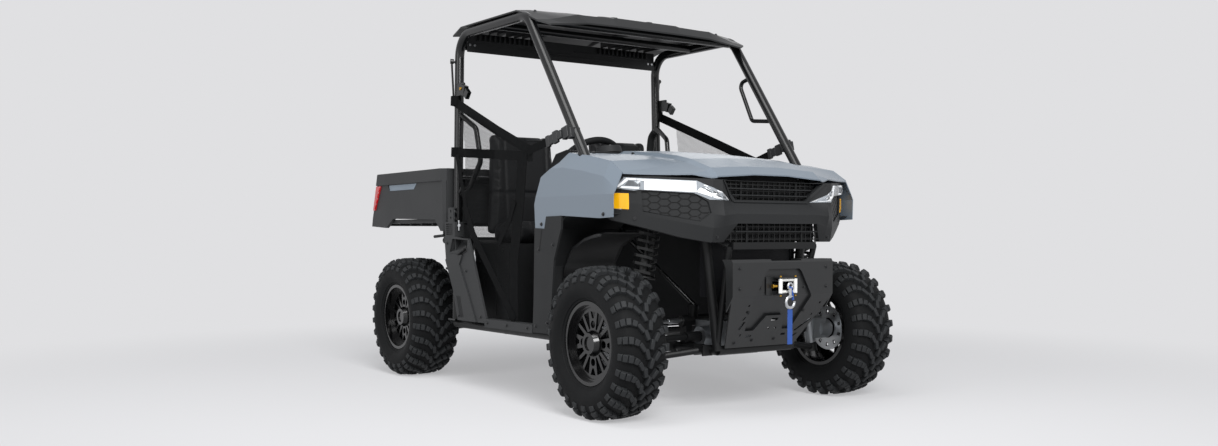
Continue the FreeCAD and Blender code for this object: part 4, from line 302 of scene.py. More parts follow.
def add_box(bm, centre, size, turn=None):
    """A box in a mesh, turned about its centre, as its new vertices."""
    place = Matrix.Translation(centre) @ (turn.to_4x4() if turn else Matrix()) @ Matrix.Diagonal((*size, 1))
    return bmesh.ops.create_cube(bm, size=1, matrix=place)["verts"]


def add_rod(bm, start, end, radius, segments=16, end_radius=None):
    """A round bar or cone in a mesh from one point to another."""
    start, end = Vector(start), Vector(end)
    along = end - start
    place = Matrix.Translation((start + end) / 2) @ along.to_track_quat("Z", "X").to_matrix().to_4x4()
    if end_radius is None:
        end_radius = radius
    bmesh.ops.create_cone(bm, cap_ends=True, segments=segments, radius1=radius, radius2=end_radius,
                          depth=along.length, matrix=place)


def add_rods(bm, rods, sign):
    """Round bars given for the left side as start, end, radius and sides."""
    for (x, y, z), (end_x, end_y, end_z), radius, sides in rods:
        add_rod(bm, (sign * x, y, z), (sign * end_x, end_y, end_z), radius, sides)


def add_plate(bm, outline, along):
    """An outline of points extruded along a vector."""
    face = bm.faces.new([bm.verts.new(point) for point in outline])
    grown = bmesh.ops.extrude_face_region(bm, geom=[face])["geom"]
    bmesh.ops.translate(bm, verts=new_verts(grown), vec=along)


def add_strap(bm, points, width, thickness, face_normal):
    """A flat strap through points, its width square to its run and to the way it faces."""
    points = [Vector(p) for p in points]
    edge = None
    faces = []
    for i, point in enumerate(points):
        along = (points[min(i + 1, len(points) - 1)] - points[max(i - 1, 0)]).normalized()
        half = along.cross(Vector(face_normal)).normalized() * width / 2
        if edge is None:
            edge = bm.edges.new((bm.verts.new(point - half), bm.verts.new(point + half)))
            continue
        grown = bmesh.ops.extrude_edge_only(bm, edges=[edge])["geom"]
        ends = new_verts(grown)
        faces += [f for f in grown if isinstance(f, bmesh.types.BMFace)]
        edge = next(e for e in grown if isinstance(e, bmesh.types.BMEdge) and set(e.verts) == set(ends))
        low, high = sorted(ends, key=lambda v: (v.co - points[i - 1]).dot(half))
        low.co, high.co = point - half, point + half
    bmesh.ops.solidify(bm, geom=faces, thickness=thickness)


# A bend starts at this share of the shorter run beside its corner, or of the longest run that counts.
BEND_SHARE = 0.45
BEND_RUN = 0.06
BEND_STEPS = 5


def rounded_line(points):
    """Points with a smooth bend in place of each inner corner."""
    points = [Vector(p) for p in points]
    line = [points[0]]
    for before, corner, after in zip(points, points[1:], points[2:]):
        reach = min((corner - before).length, (after - corner).length, BEND_RUN) * BEND_SHARE
        start = corner + (before - corner).normalized() * reach
        end = corner + (after - corner).normalized() * reach
        for step in range(BEND_STEPS + 1):
            share = step / BEND_STEPS
            line.append(start.lerp(corner, share).lerp(corner.lerp(end, share), share))
    return [*line, points[-1]]


def add_pipe(bm, points, radius, segments=14, flat=1.0):
    """A tube through points with rounded bends, its section squeezed by a flatness."""
    line = rounded_line(points)
    side = None
    place_before, edges = None, []
    for i, point in enumerate(line):
        along = (line[min(i + 1, len(line) - 1)] - line[max(i - 1, 0)]).normalized()
        side = (along.orthogonal() if side is None else side - along * side.dot(along)).normalized()
        turn = Matrix((along.cross(side) * -flat, side, along)).transposed()
        place = Matrix.Translation(point) @ turn.to_4x4()
        if place_before is None:
            ring = bmesh.ops.create_circle(
                bm, cap_ends=True, segments=segments, radius=radius, matrix=place)["verts"]
            edges = list({edge for vertex in ring for edge in vertex.link_edges})
        else:
            grown = bmesh.ops.extrude_edge_only(bm, edges=edges)["geom"]
            ring = new_verts(grown)
            edges = [e for e in grown if isinstance(e, bmesh.types.BMEdge) and set(e.verts) <= set(ring)]
            bmesh.ops.transform(bm, verts=ring, matrix=place @ place_before.inverted())
        place_before = place
    bmesh.ops.edgeloop_fill(bm, edges=edges)


def skin(*nodes):
    """A search tree over the outsides of frame nodes."""
    points, faces = [], []
    for node in nodes:
        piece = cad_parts[node]
        start = len(points)
        points += [piece.matrix_world @ vertex.co for vertex in piece.data.vertices]
        faces += [[start + i for i in face.vertices] for face in piece.data.polygons]
    return BVHTree.FromPolygons(points, faces)


RAY_RUN_UP = 0.4


def seat_at(surface, point, direction):
    """Where a line through a point, from a run-up before it, meets a surface, and the way that faces."""
    direction = Vector(direction).normalized()
    place, normal, _, _ = surface.ray_cast(Vector(point) - direction * RAY_RUN_UP, direction)
    if place is None:
        raise ValueError(f"no surface at {tuple(point)} along {tuple(direction)}")
    return place, -normal if normal.dot(direction) > 0 else normal


PATCH_SINK = 0.0005


def add_patch(bm, surface, corners, direction, height, rows=1, columns=1):
    """A four-cornered plate that follows a surface and stands proud of it by a height."""
    low_left, low_right, high_right, high_left = (Vector(corner) for corner in corners)
    grid = bmesh.ops.create_grid(bm, x_segments=columns, y_segments=rows, size=0.5)["verts"]
    faces = {face for vertex in grid for face in vertex.link_faces}
    lift = Vector()
    for vertex in grid:
        x, y = vertex.co.x + 0.5, vertex.co.y + 0.5
        spot = low_left.lerp(high_left, y).lerp(low_right.lerp(high_right, y), x)
        place, normal = seat_at(surface, spot, direction)
        vertex.co = place - normal * PATCH_SINK
        lift += normal
    grown = bmesh.ops.extrude_face_region(bm, geom=list(faces))["geom"]
    bmesh.ops.translate(bm, verts=new_verts(grown), vec=lift.normalized() * (height + PATCH_SINK))


WASHER_HEIGHT = 0.0016
WASHER_SINK = 0.001
# A washer's radius, a head's height and its radius at the top, as shares of the head's radius.
WASHER_SHARE = 1.5
HEAD_HEIGHT_SHARE = 0.8
HEAD_TOP_SHARE = 0.88


def add_bolt(bm, surface, point, direction, radius=0.006, sides=6):
    """A washer with a hexagon or round head, seated on a surface."""
    place, normal = seat_at(surface, point, direction)
    washer_top = place + normal * WASHER_HEIGHT
    head_top = washer_top + normal * radius * HEAD_HEIGHT_SHARE
    add_rod(bm, place - normal * WASHER_SINK, washer_top, radius * WASHER_SHARE, 20)
    add_rod(bm, place, head_top, radius, sides, end_radius=radius * HEAD_TOP_SHARE)


def mirrored(points):
    """Points given for the left, with their mirror images and each one's side."""
    return [((sign * x, y, z), sign) for x, y, z in points for sign in (1, -1)]


# Where corners on the vehicle's nose and flanks are set before they are seated
NOSE_Y = -1.45
FLANK_X = 0.62


def at_nose(sign, corners):
    """Corners given as x and z in mm for the left side, in front of the vehicle's nose."""
    return [(sign * x * MM, NOSE_Y, z * MM) for x, z in corners]


def on_flank(sign, corners):
    """Corners given as y and z in mm, on one flank of the vehicle."""
    return [(sign * FLANK_X, y * MM, z * MM) for y, z in corners]


# Stage

CAMERA_SENSOR_MM = 36
CAMERA_LENS_MM = 34.09
CAMERA_SHIFT = (-0.0370, 0.0613)
CAMERA_PLACE = (-3.1762, -4.710, 0.7349)
CAMERA_AZIMUTH = math.radians(36.43)
CAMERA_ELEVATION = math.radians(3.16)
# Each light's place, the width of its square and its power in watts.
LIGHTS = {
    "key_light": ((-2.2, -5.5, 3.6), 2.5, 255),
    "side_light": ((-5.5, -0.5, 2.6), 3.0, 60),
    "top_light": ((-1.7, -1.6, 4.6), 2.4, 80),
    "back_light": ((3.5, 4.0, 3.5), 2.5, 20),
}
LIGHTS_AIM = Vector((0, 0, 0.8))
SKY_COLOUR = (0.95, 0.97, 1.0, 1.0)
SKY_STRENGTH = 0.42
FLOOR_SIZE = 60
# The floor turns from lit to the backdrop's own tone between these distances.
FLOOR_FADE = (1.8, 4.6)
FLOOR_NEAR_GLOW = 0.5
FLOOR_NEAR_SHADE = 0.80


class VEHICLE_OT_stage(bpy.types.Operator):
    """Set the camera at the photograph's view, with a pale floor and soft studio light"""

    bl_idname = "vehicle.stage"
    bl_label = "Stage"

    def execute(self, context):
        scene = context.scene
        scene.view_settings.view_transform = "Standard"
        add_camera(scene)
        add_floor(scene.vehicle_colours.floor)
        add_world(scene, scene.vehicle_colours.floor)
        for name, (place, width, power) in LIGHTS.items():
            add_light(name, place, width, power)
        return {"FINISHED"}


def add_camera(scene):
    """The camera that sees the vehicle as the photograph does."""
    camera = bpy.data.cameras.new("photo_camera")
    camera.sensor_width = CAMERA_SENSOR_MM
    camera.lens = CAMERA_LENS_MM
    camera.shift_x, camera.shift_y = CAMERA_SHIFT
    eye = bpy.data.objects.new("photo_camera", camera)
    ahead = math.cos(CAMERA_ELEVATION)
    look = Vector((math.sin(CAMERA_AZIMUTH) * ahead, math.cos(CAMERA_AZIMUTH) * ahead,
                   -math.sin(CAMERA_ELEVATION)))
    eye.matrix_world = Matrix.Translation(CAMERA_PLACE) @ look.to_track_quat("-Z", "Y").to_matrix().to_4x4()
    scene.collection.objects.link(eye)
    scene.camera = eye


def add_light(name, place, width, power):
    """A square soft light that looks at the vehicle's middle."""
    light = bpy.data.lights.new(name, "AREA")
    light.size = width
    light.energy = power
    lamp = bpy.data.objects.new(name, light)
    aim = (LIGHTS_AIM - Vector(place)).to_track_quat("-Z", "Y")
    lamp.matrix_world = Matrix.Translation(place) @ aim.to_matrix().to_4x4()
    bpy.context.scene.collection.objects.link(lamp)


def add_floor(colour):
    """A wide pale floor that keeps the vehicle's shadow and fades into the backdrop's tone further out."""
    mat = bpy.data.materials.new("studio_floor")
    mat.use_nodes = True
    tree = mat.node_tree
    tree.nodes.clear()
    coords = add_node(tree, "ShaderNodeTexCoord").outputs["Object"]
    distance = add_node(tree, "ShaderNodeVectorMath", {0: coords}, operation="LENGTH").outputs["Value"]
    fade = add_node(tree, "ShaderNodeMapRange", {
        "Value": distance, "From Min": FLOOR_FADE[0], "From Max": FLOOR_FADE[1], "To Min": FLOOR_NEAR_GLOW,
    }, interpolation_type="SMOOTHSTEP").outputs["Result"]
    near = add_node(tree, "ShaderNodeBsdfDiffuse", {
        "Color": rgba(shaded(colour, FLOOR_NEAR_SHADE)), "Roughness": 0.9})
    far = add_node(tree, "ShaderNodeEmission", {"Color": rgba(colour), "Strength": 1.0})
    mixed = add_node(tree, "ShaderNodeMixShader", {
        0: fade, 1: near.outputs["BSDF"], 2: far.outputs["Emission"]}).outputs["Shader"]
    add_node(tree, "ShaderNodeOutputMaterial", {"Surface": mixed})
    bm = bmesh.new()
    bmesh.ops.create_grid(bm, x_segments=1, y_segments=1, size=FLOOR_SIZE)
    mesh = bpy.data.meshes.new("studio_floor")
    bm.to_mesh(mesh)
    bm.free()
    mesh.materials.append(mat)
    floor = bpy.data.objects.new("studio_floor", mesh)
    bpy.context.scene.collection.objects.link(floor)


def add_world(scene, colour):
    """Even light from all round, with the backdrop's own tone behind the vehicle and in its reflections."""
    world = bpy.data.worlds.new("studio_world")
    world.use_nodes = True
    tree = world.node_tree
    tree.nodes.clear()
    path = add_node(tree, "ShaderNodeLightPath")
    light = add_node(tree, "ShaderNodeBackground", {"Color": SKY_COLOUR, "Strength": SKY_STRENGTH})
    backdrop = add_node(tree, "ShaderNodeBackground", {"Color": rgba(colour), "Strength": 1.0})
    seen = path.outputs["Is Camera Ray"]
    for ray in ("Is Glossy Ray", "Is Transmission Ray"):
        seen = add_node(
            tree, "ShaderNodeMath", {0: seen, 1: path.outputs[ray]}, operation="MAXIMUM").outputs["Value"]
    mixed = add_node(tree, "ShaderNodeMixShader", {
        0: seen, 1: light.outputs["Background"], 2: backdrop.outputs["Background"]})
    add_node(tree, "ShaderNodeOutputWorld", {"Surface": mixed.outputs["Shader"]})
    scene.world = world


# Finishes of the nodes that stay

NODE_FINISH = {
    "satin_enamel": ["bonnet", "front_side_panels"],
    "grained_polypropylene": ["bumper_fascia", "front_skirts", "dash", "cab_floor", "seat_base"],
    "moulded_polyethylene": ["rocker_panels", "rear_side_panels", "cargo_box", "tailgate"],
    "coated_sheet": ["winch_plate", "fairlead"],
    "roof_polyethylene": ["roof"],
    "powder_coated_steel": ["roll_cage", "grab_bars", "steering_column", "hitch_receiver"],
    "chassis_black": [
        "main_frame", "front_arms", "rear_arms", "rear_shocks", "strut_left", "strut_right", "rack_housing",
        "bed_latches", "grille"],
    "moulded_rubber": [
        "tyre_front_left", "tyre_front_right", "tyre_rear_left", "tyre_rear_right", "half_shafts",
        "steering_wheel"],
    "gloss_black_enamel": [
        "wheel_front_left", "wheel_front_right", "wheel_rear_left", "wheel_rear_right", "winch"],
    "cast_aluminium": ["gearcases", "engine_block", "knuckle_left", "knuckle_right", "rear_hubs"],
    "zinc_plated_steel": ["winch_hook", "muffler", "steering_rack"],
    "radiator_core": ["radiator"],
    "clear_cover": ["front_lamps"],
    "red_acrylic": ["tail_lamps"],
    "blue_strap_webbing": ["hook_strap"],
    "grained_vinyl": ["seat_cushion_left", "seat_cushion_right", "backrest_left", "backrest_right"],
    "woven_webbing": ["side_net_left", "side_net_right"],
}


class VEHICLE_OT_finishes(bpy.types.Operator):
    """Make the materials, and give every node of the frame the finish of the real piece"""

    bl_idname = "vehicle.finishes"
    bl_label = "Finishes"

    def execute(self, context):
        made = {name: material(name, **settings)
                for name, settings in surfaces(context.scene.vehicle_colours).items()}
        for finish, nodes in NODE_FINISH.items():
            for node in nodes:
                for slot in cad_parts[node].material_slots:
                    slot.material = made[finish]
        return {"FINISHED"}


# Seats

SEAT_INSET = 7 * MM
SEAT_EDGE = 0.028
SEAT_EDGE_STEPS = 4
SWELL = 14 * MM
SEAT_VOXEL = 6 * MM
CLOTH_PRESSURE = 4
CLOTH_FRAMES = 20
# The backrest's depth as a share of its solid's, its lean over its height, and how much its top narrows.
BACK_DEPTH = 0.62
BACK_LEAN = 0.038
BACK_TAPER = 0.17
# The sewn seams: their shares of the pad's width and length, depth and half width.
SEAM_ACROSS = 0.27
SEAM_ALONG = 0.42
SEAM_DEPTH = 0.006
SEAM_HALF_WIDTH = 0.008


class VEHICLE_OT_seats(bpy.types.Operator):
    """Make the cushions and backrests as padded, stitched seats"""

    bl_idname = "vehicle.seats"
    bl_label = "Seats"

    def execute(self, context):
        for side, _ in SIDES:
            for kind in ("seat_cushion", "backrest"):
                node = f"{kind}_{side}"
                seat = new_piece(seat_block(node), f"{kind}_pad_{side}", "grained_vinyl", smooth_angle=0)
                if kind == "backrest":
                    lean_back(seat, node)
                swell(seat)
                sew_channels(seat, node, upright=kind == "backrest")
                seat.data.shade_smooth()
                finish = seat.modifiers.new("Subdivision", "SUBSURF")
                finish.levels = finish.render_levels = 1
                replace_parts(seat, node)
        return {"FINISHED"}


def seat_block(node):
    """A rounded block a little smaller than a seat's solid."""
    low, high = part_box(node)
    bm = bmesh.new()
    add_box(bm, (low + high) / 2, high - low - 2 * Vector((SEAT_INSET, SEAT_INSET, SEAT_INSET)))
    bmesh.ops.bevel(bm, geom=bm.edges[:], offset=SEAT_EDGE, segments=SEAT_EDGE_STEPS, affect="EDGES",
                    profile=0.5, material=-1)
    return bm


def lean_back(seat, node):
    """Shear and taper an upright block to the slope and outline of the backrest's solid."""
    low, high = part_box(node)
    centre_x = (low.x + high.x) / 2
    for vertex in seat.data.vertices:
        share = (vertex.co.z - low.z) / (high.z - low.z)
        vertex.co.y = low.y + (vertex.co.y - low.y) * BACK_DEPTH + share * BACK_LEAN
        vertex.co.x = centre_x + (vertex.co.x - centre_x) * (1 - BACK_TAPER * share ** 2)


def swell(piece):
    """Inflate a rough block by a cloth simulation, held near its shape."""
    bpy.context.view_layer.objects.active = piece
    remesh = piece.modifiers.new("Remesh", "REMESH")
    remesh.mode = "VOXEL"
    remesh.voxel_size = SEAT_VOXEL * 1
    apply_modifier(piece, remesh)
    rest = [v.co.copy() for v in piece.data.vertices]
    cloth = piece.modifiers.new("Cloth", "CLOTH")
    cloth.settings.use_pressure = True
    cloth.settings.uniform_pressure_force = CLOTH_PRESSURE
    cloth.settings.effector_weights.gravity = 0
    for step in range(1, CLOTH_FRAMES + 1):
        bpy.context.scene.frame_set(step)
    apply_modifier(piece, cloth)
    bpy.context.scene.frame_set(1)
    for vertex, start in zip(piece.data.vertices, rest):
        grown = vertex.co - start
        if grown.length > SWELL:
            vertex.co = start + grown.normalized() * SWELL


def apply_modifier(piece, modifier):
    """Apply one modifier to its piece."""
    with bpy.context.temp_override(object=piece, active_object=piece):
        bpy.ops.object.modifier_apply(modifier=modifier.name)


def sew_channels(seat, node, upright):
    """Press the sewn seams of the cover into a pad: two along it and one across."""
    low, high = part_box(node)
    centre_x = (low.x + high.x) / 2
    along = 2 if upright else 1
    seam_x = (high.x - low.x) * SEAM_ACROSS
    cross = low[along] + (high[along] - low[along]) * SEAM_ALONG
    for vertex in seat.data.vertices:
        nearest = min(abs(abs(vertex.co.x - centre_x) - seam_x), abs(vertex.co[along] - cross))
        vertex.co -= vertex.normal * SEAM_DEPTH * math.exp(-(nearest / SEAM_HALF_WIDTH) ** 2)


# Nets and their straps

NET_PLANE_X = 0.640
# The upright cords lie this much inboard of the level ones.
CORD_LAYER = 0.0018
# Straps of the left net: width, then points as x, y, z. Where two cross they lie 1.6 mm apart.
NET_STRAPS = (
    (0.045, ((0.616, 0.392, 1.376), (0.640, -0.093, 1.196), (0.640, -0.380, 1.092))),
    (0.042, ((0.618, 0.392, 1.130), (0.6416, -0.093, 1.092), (0.6416, -0.400, 1.066))),
    (0.078, (
        (0.6432, -0.315, 1.088), (0.6432, -0.287, 0.883), (0.6432, -0.230, 0.620), (0.6432, -0.226, 0.352))),
    (0.045, ((0.6448, 0.236, 0.871), (0.6448, 0.147, 0.730), (0.6448, -0.235, 0.354))),
    (0.030, ((0.6464, -0.247, 0.880), (0.6464, -0.200, 0.800), (0.6464, -0.100, 0.690))),
    (0.030, ((0.6384, 0.320, 1.115), (0.6384, 0.236, 0.871))),
    (0.036, ((0.6480, -0.363, 1.090), (0.632, -0.500, 1.122))),
)
NET_EDGE = [
    (0.262, 1.316), (-0.300, 1.110), (-0.287, 0.883), (-0.230, 0.620), (-0.228, 0.366), (0.147, 0.730),
    (0.232, 0.871), (0.228, 1.100)]
# The webbing's loops round the rear pillar: their levels, and the ends of one as x, y and a step in z.
LOOP_LEVELS = (1.376, 1.130)
LOOP_ENDS = ((0.609, 0.381, -0.022), (0.607, 0.381, 0.022))
LOOP_RADIUS = 0.0265
# The buckle's blocks on the left: place and size. They lie in line with the strap.
BUCKLE_SLOPE = Matrix.Rotation(math.radians(-14), 3, "X")
BUCKLE_BLOCKS = (
    ((0.628, -0.506, 1.124), (0.014, 0.024, 0.050)),
    ((0.628, -0.534, 1.131), (0.014, 0.030, 0.040)),
    ((0.628, -0.566, 1.139), (0.014, 0.034, 0.052)),
    ((0.628, -0.600, 1.147), (0.014, 0.030, 0.034)),
    ((0.618, -0.634, 1.154), (0.022, 0.046, 0.050)),
    ((0.600, -0.662, 1.150), (0.050, 0.030, 0.044)),
)


class VEHICLE_OT_nets(bpy.types.Operator):
    """Hang the side nets of webbing and knotted cord in the door openings, with their buckles"""

    bl_idname = "vehicle.nets"
    bl_label = "Nets"

    def execute(self, context):
        sizes = context.scene.vehicle_sizes
        for side, sign in SIDES:
            bm = bmesh.new()
            for width, line in NET_STRAPS:
                add_strap(bm, [(sign * x, y, z) for x, y, z in line], width, sizes.strap_thickness, (1, 0, 0))
            for level in LOOP_LEVELS:
                add_pipe(bm, [(sign * x, y, level + step) for x, y, step in LOOP_ENDS], LOOP_RADIUS, 28)
            straps = new_piece(bm, f"net_straps_{side}", "woven_webbing")
            net = new_piece(net_cords(sign, sizes), f"net_mesh_{side}", "net_cord")
            clasp = bmesh.new()
            for (x, y, z), size in BUCKLE_BLOCKS:
                add_box(clasp, (sign * x, y, z), size, BUCKLE_SLOPE)
            buckle = new_piece(clasp, f"net_buckle_{side}", "black_fastener", bevel_mm=2.5, bevel_segments=3)
            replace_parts(straps, f"side_net_{side}")
        return {"FINISHED"}


def net_cords(sign, sizes):
    """The taut cords of the net in both directions, cut off at its edge."""
    bm = bmesh.new()
    for axis in (0, 1):
        x = sign * (NET_PLANE_X - CORD_LAYER * axis)
        low = min(point[axis] for point in NET_EDGE)
        high = max(point[axis] for point in NET_EDGE)
        for i in range(1, int((high - low) / sizes.net_cell)):
            level = low + i * sizes.net_cell
            ends = sorted(crossings(NET_EDGE, axis, level))
            for pair in zip(ends[::2], ends[1::2]):
                start, end = ((x, level, other) if axis == 0 else (x, other, level) for other in pair)
                add_rod(bm, start, end, sizes.net_cord / 2, 4)
    return bm


def crossings(outline, axis, level):
    """Where the edges of an outline cross a level of one axis, as values of the other axis."""
    found = []
    for start, end in zip(outline, outline[1:] + outline[:1]):
        if (start[axis] > level) != (end[axis] > level):
            share = (level - start[axis]) / (end[axis] - start[axis])
            found.append(start[1 - axis] + share * (end[1 - axis] - start[1 - axis]))
    return found


# Tyres

TYRE_RADIUS = 0.305
TREAD_PITCHES = 26
# Half widths of the tyres and of their rims.
TYRES = {"front": (0.1145, 0.084), "rear": (0.127, 0.1)}
CARCASS_CROWN = TYRE_RADIUS - 0.017
CROWN_RISE = 0.003
# The carcass's sidewall as insets from the half width and drops from the crown, and its bead as steps from
# the rim's half width and radii.
SIDEWALL = ((0.052, 0.0), (0.026, 0.010), (0.010, 0.030), (0.004, 0.055), (0.003, 0.075), (0.010, 0.094))
BEAD = ((0.012, 0.184), (0.011, 0.180), (0.006, 0.178), (0.003, 0.171), (-0.0053, 0.1695), (-0.0053, 0.1605))
CARCASS_STEPS = 96
# Rows of lugs on the front tyre: how far out, top radius, tilt over the shoulder and turn in degrees, start
# as a share of a pitch, and size across, along and high.
LUG_ROWS = (
    (0.0110, 0.3052, 0, 74, 0.80, (0.043, 0.019, 0.026)),
    (0.0345, 0.3050, 2, 54, 0.42, (0.041, 0.019, 0.026)),
    (0.0590, 0.3035, 7, 26, 0.14, (0.023, 0.027, 0.026)),
    (0.0835, 0.2990, 22, 8, 0.02, (0.022, 0.031, 0.028)),
    (0.1025, 0.2830, 52, 0, 0.00, (0.023, 0.031, 0.022)),
    (0.1110, 0.2560, 76, 0, 0.00, (0.023, 0.029, 0.012)),
)
LUG_TAPER = (0.90, 0.88, 1)
LUG_EDGE = 0.0022


class VEHICLE_OT_tyres(bpy.types.Operator):
    """Build the four tyres: moulded carcass, crown blocks and shoulder lugs"""

    bl_idname = "vehicle.tyres"
    bl_label = "Tyres"

    def execute(self, context):
        for axle, (half, rim_half) in TYRES.items():
            for side, sign in SIDES:
                node, body = f"tyre_{axle}_{side}", f"wheel_{axle}_{side}"
                low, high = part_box(node)
                centre = Vector(((low.x + high.x) / 2, (low.y + high.y) / 2, TYRE_RADIUS))
                carcass, tread = bmesh.new(), bmesh.new()
                add_carcass(carcass, half, rim_half)
                for row in LUG_ROWS:
                    for way in (1, -1):
                        add_lug_row(tread, half, way, *row)
                place = Matrix.Translation(centre) @ Matrix.Diagonal((sign, 1, 1, 1))
                for bm in (carcass, tread):
                    bmesh.ops.transform(bm, verts=bm.verts, matrix=place)
                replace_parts(new_piece(carcass, f"carcass_{node}", "moulded_rubber", body), node)
                # The lugs take the paler rubber: painted light on the raised blocks.
                new_piece(tread, f"tread_{node}", "lit_tread_rubber", body)
        return {"FINISHED"}


def add_carcass(bm, half, rim_half):
    """The tyre without lugs, spun about the X axis from its section."""
    right = (
        [(0.0, CARCASS_CROWN + CROWN_RISE)]
        + [(half - inset, CARCASS_CROWN - drop) for inset, drop in SIDEWALL]
        + [(rim_half + step, radius) for step, radius in BEAD])
    section = right + [(-x, radius) for x, radius in right[:0:-1]]
    verts = [bm.verts.new((x, 0, radius)) for x, radius in section]
    edges = [bm.edges.new(pair) for pair in zip(verts, verts[1:] + verts[:1])]
    bmesh.ops.spin(bm, geom=verts + edges, cent=(0, 0, 0), axis=(1, 0, 0), angle=2 * math.pi,
                   steps=CARCASS_STEPS, use_merge=True)


def add_lug_row(bm, half, way, out, top_radius, tilt, turn, phase, size):
    """One row of tapered rubber blocks round the tyre, on one half of the tread."""
    step = 2 * math.pi / TREAD_PITCHES
    out *= half / TYRES["front"][0]
    offset = phase if way > 0 else phase + 0.5
    seat = (Matrix.Translation((way * out, 0, top_radius)) @ Matrix.Rotation(math.radians(way * tilt), 4, "Y")
            @ Matrix.Rotation(math.radians(way * turn), 4, "Z"))
    for i in range(TREAD_PITCHES):
        verts = add_box(bm, (0, 0, -size[2] / 2), size)
        top = [v for v in verts if v.co.z > -size[2] / 2]
        bmesh.ops.scale(bm, verts=top, vec=LUG_TAPER)
        edges = {edge for v in top for edge in v.link_edges}
        bevelled = bmesh.ops.bevel(bm, geom=list(edges), offset=LUG_EDGE, segments=1, affect="EDGES",
                                   profile=0.5, material=-1)
        moved = {v for v in verts if v.is_valid} | {v for face in bevelled["faces"] for v in face.verts}
        bmesh.ops.transform(bm, verts=list(moved), matrix=Matrix.Rotation(step * (i + offset), 4, "X") @ seat)


# Lamps

# Pieces on and beside the left headlamp: name, finish, the nodes that they lie on, height in mm, rows and
# columns, and patches with corners as x and z in mm.
LAMP_PIECES = (
    ("light_bar", "light_guide", ["front_lamps"], 3.0, (2, 8), (
        ((372, 897), (532, 907), (532, 949), (372, 940)),
        ((250, 869), (310, 873), (374, 898), (360, 914)),
        ((224, 869), (234, 869), (354, 925), (346, 926)),
        ((532, 941), (594, 946), (590, 953), (532, 949)),
        ((584, 944), (612, 917), (620, 917), (593, 950)),
        ((546, 909), (608, 914), (604, 921), (546, 917)),
    )),
    ("lamp_facets", "smoked_housing", ["front_lamps"], 2.2, (2, 4), (
        ((544, 920), (596, 923), (584, 942), (544, 939)),
        ((262, 876), (312, 880), (356, 916), (338, 914)),
    )),
    ("lamp_prisms", "zinc_plated_steel", ["front_lamps"], 3.5, (1, 1), [
        ((x, z), (x + 9, z + 2), (x + 14, z + 9), (x + 5, z + 7))
        for x, z in ((274, 880), (291, 889), (308, 898), (325, 907))
    ]),
    # A near-black strip on the fascia under the lamp's outer end: painted shade of the gap there.
    ("lamp_gap_shade", "seam_shadow", ["bumper_fascia", "front_lamps"], 0.8, (1, 4), (
        ((556, 893), (630, 902), (628, 910), (560, 902)),
    )),
    ("side_reflector", "amber_acrylic", ["bumper_fascia", "front_lamps"], 2.0, (6, 8), (
        ((578, 831), (626, 835), (635, 895), (580, 893)),
    )),
)
# The tail lamp's edges in mm: y at its top and how far they lean back for each mm down. Its lenses lie
# between them.
TAIL_TOP_Z = 991
TAIL_EDGES = ((1181, 0.62), (1241, 0.341))
TAIL_LENS_SHARES = (0.15, 0.85)
TAIL_LENS_LEVELS = (870, 900, 930, 960)
TAIL_LENS_HEIGHT = 22
TAIL_LENS_DEPTH = 0.0025


class VEHICLE_OT_lamps(bpy.types.Operator):
    """Fit the light bars, facets, prisms and amber reflectors at the front, and the tail lamps' lenses"""

    bl_idname = "vehicle.lamps"
    bl_label = "Lamps"

    def execute(self, context):
        rear = skin("tail_lamps")
        for side, sign in SIDES:
            for name, finish, nodes, height_mm, (rows, columns), patches in LAMP_PIECES:
                bm = bmesh.new()
                surface = skin(*nodes)
                for corners in patches:
                    spots = at_nose(sign, corners)
                    add_patch(bm, surface, spots, FORWARD_TO_BACK, height_mm * MM, rows, columns)
                new_piece(bm, f"{name}_{side}", finish)
            tail = bmesh.new()
            for level in TAIL_LENS_LEVELS:
                add_patch(tail, rear, on_flank(sign, tail_lens(level)), (-sign, 0, 0), TAIL_LENS_DEPTH)
            new_piece(tail, f"tail_lens_{side}", "red_acrylic", "cargo_bed")
        return {"FINISHED"}


def tail_lens(level):
    """Corners of one lens of the tail lamp, as y and z in mm."""
    low, high = TAIL_LENS_SHARES
    top = level + TAIL_LENS_HEIGHT
    corners = []
    for z, share in ((level, low), (level, high), (top, high), (top, low)):
        front, back = (y + (TAIL_TOP_Z - z) * lean for y, lean in TAIL_EDGES)
        corners.append((front * (1 - share) + back * share, z))
    return corners


# Winch fittings

FAIRLEAD_Z = 0.527
HOOK_LATCH_Y = -1.3275
# Rods of the fairlead, with heights over its middle: start, end, radius and sides.
ROLLERS = (
    ((-0.040, -1.311, -0.029), (-0.040, -1.311, 0.029), 0.0082, 24),
    ((0.040, -1.311, -0.029), (0.040, -1.311, 0.029), 0.0082, 24),
    ((-0.036, -1.303, -0.024), (0.036, -1.303, -0.024), 0.0068, 24),
    ((-0.036, -1.303, 0.024), (0.036, -1.303, 0.024), 0.0068, 24),
)
ROLLER_PINS = (
    ((-0.040, -1.311, 0.036), (-0.040, -1.311, 0.041), 0.005, 12),
    ((-0.040, -1.311, -0.041), (-0.040, -1.311, -0.036), 0.005, 12),
    ((0.040, -1.311, 0.036), (0.040, -1.311, 0.041), 0.005, 12),
    ((0.040, -1.311, -0.041), (0.040, -1.311, -0.036), 0.005, 12),
    ((-0.066, -1.296, 0.0), (-0.050, -1.300, 0.0), 0.0055, 12),
    ((-0.072, -1.296, 0.0), (-0.066, -1.296, 0.0), 0.0085, 6),
)
HOOK_LATCH = ((0.004, -0.012), (0.013, -0.018), (0.020, -0.056), (0.012, -0.058))
HOOK_PIVOT = ((-0.009, -1.3235, -0.004), (0.009, -1.3235, -0.010), 0.0065, 20)


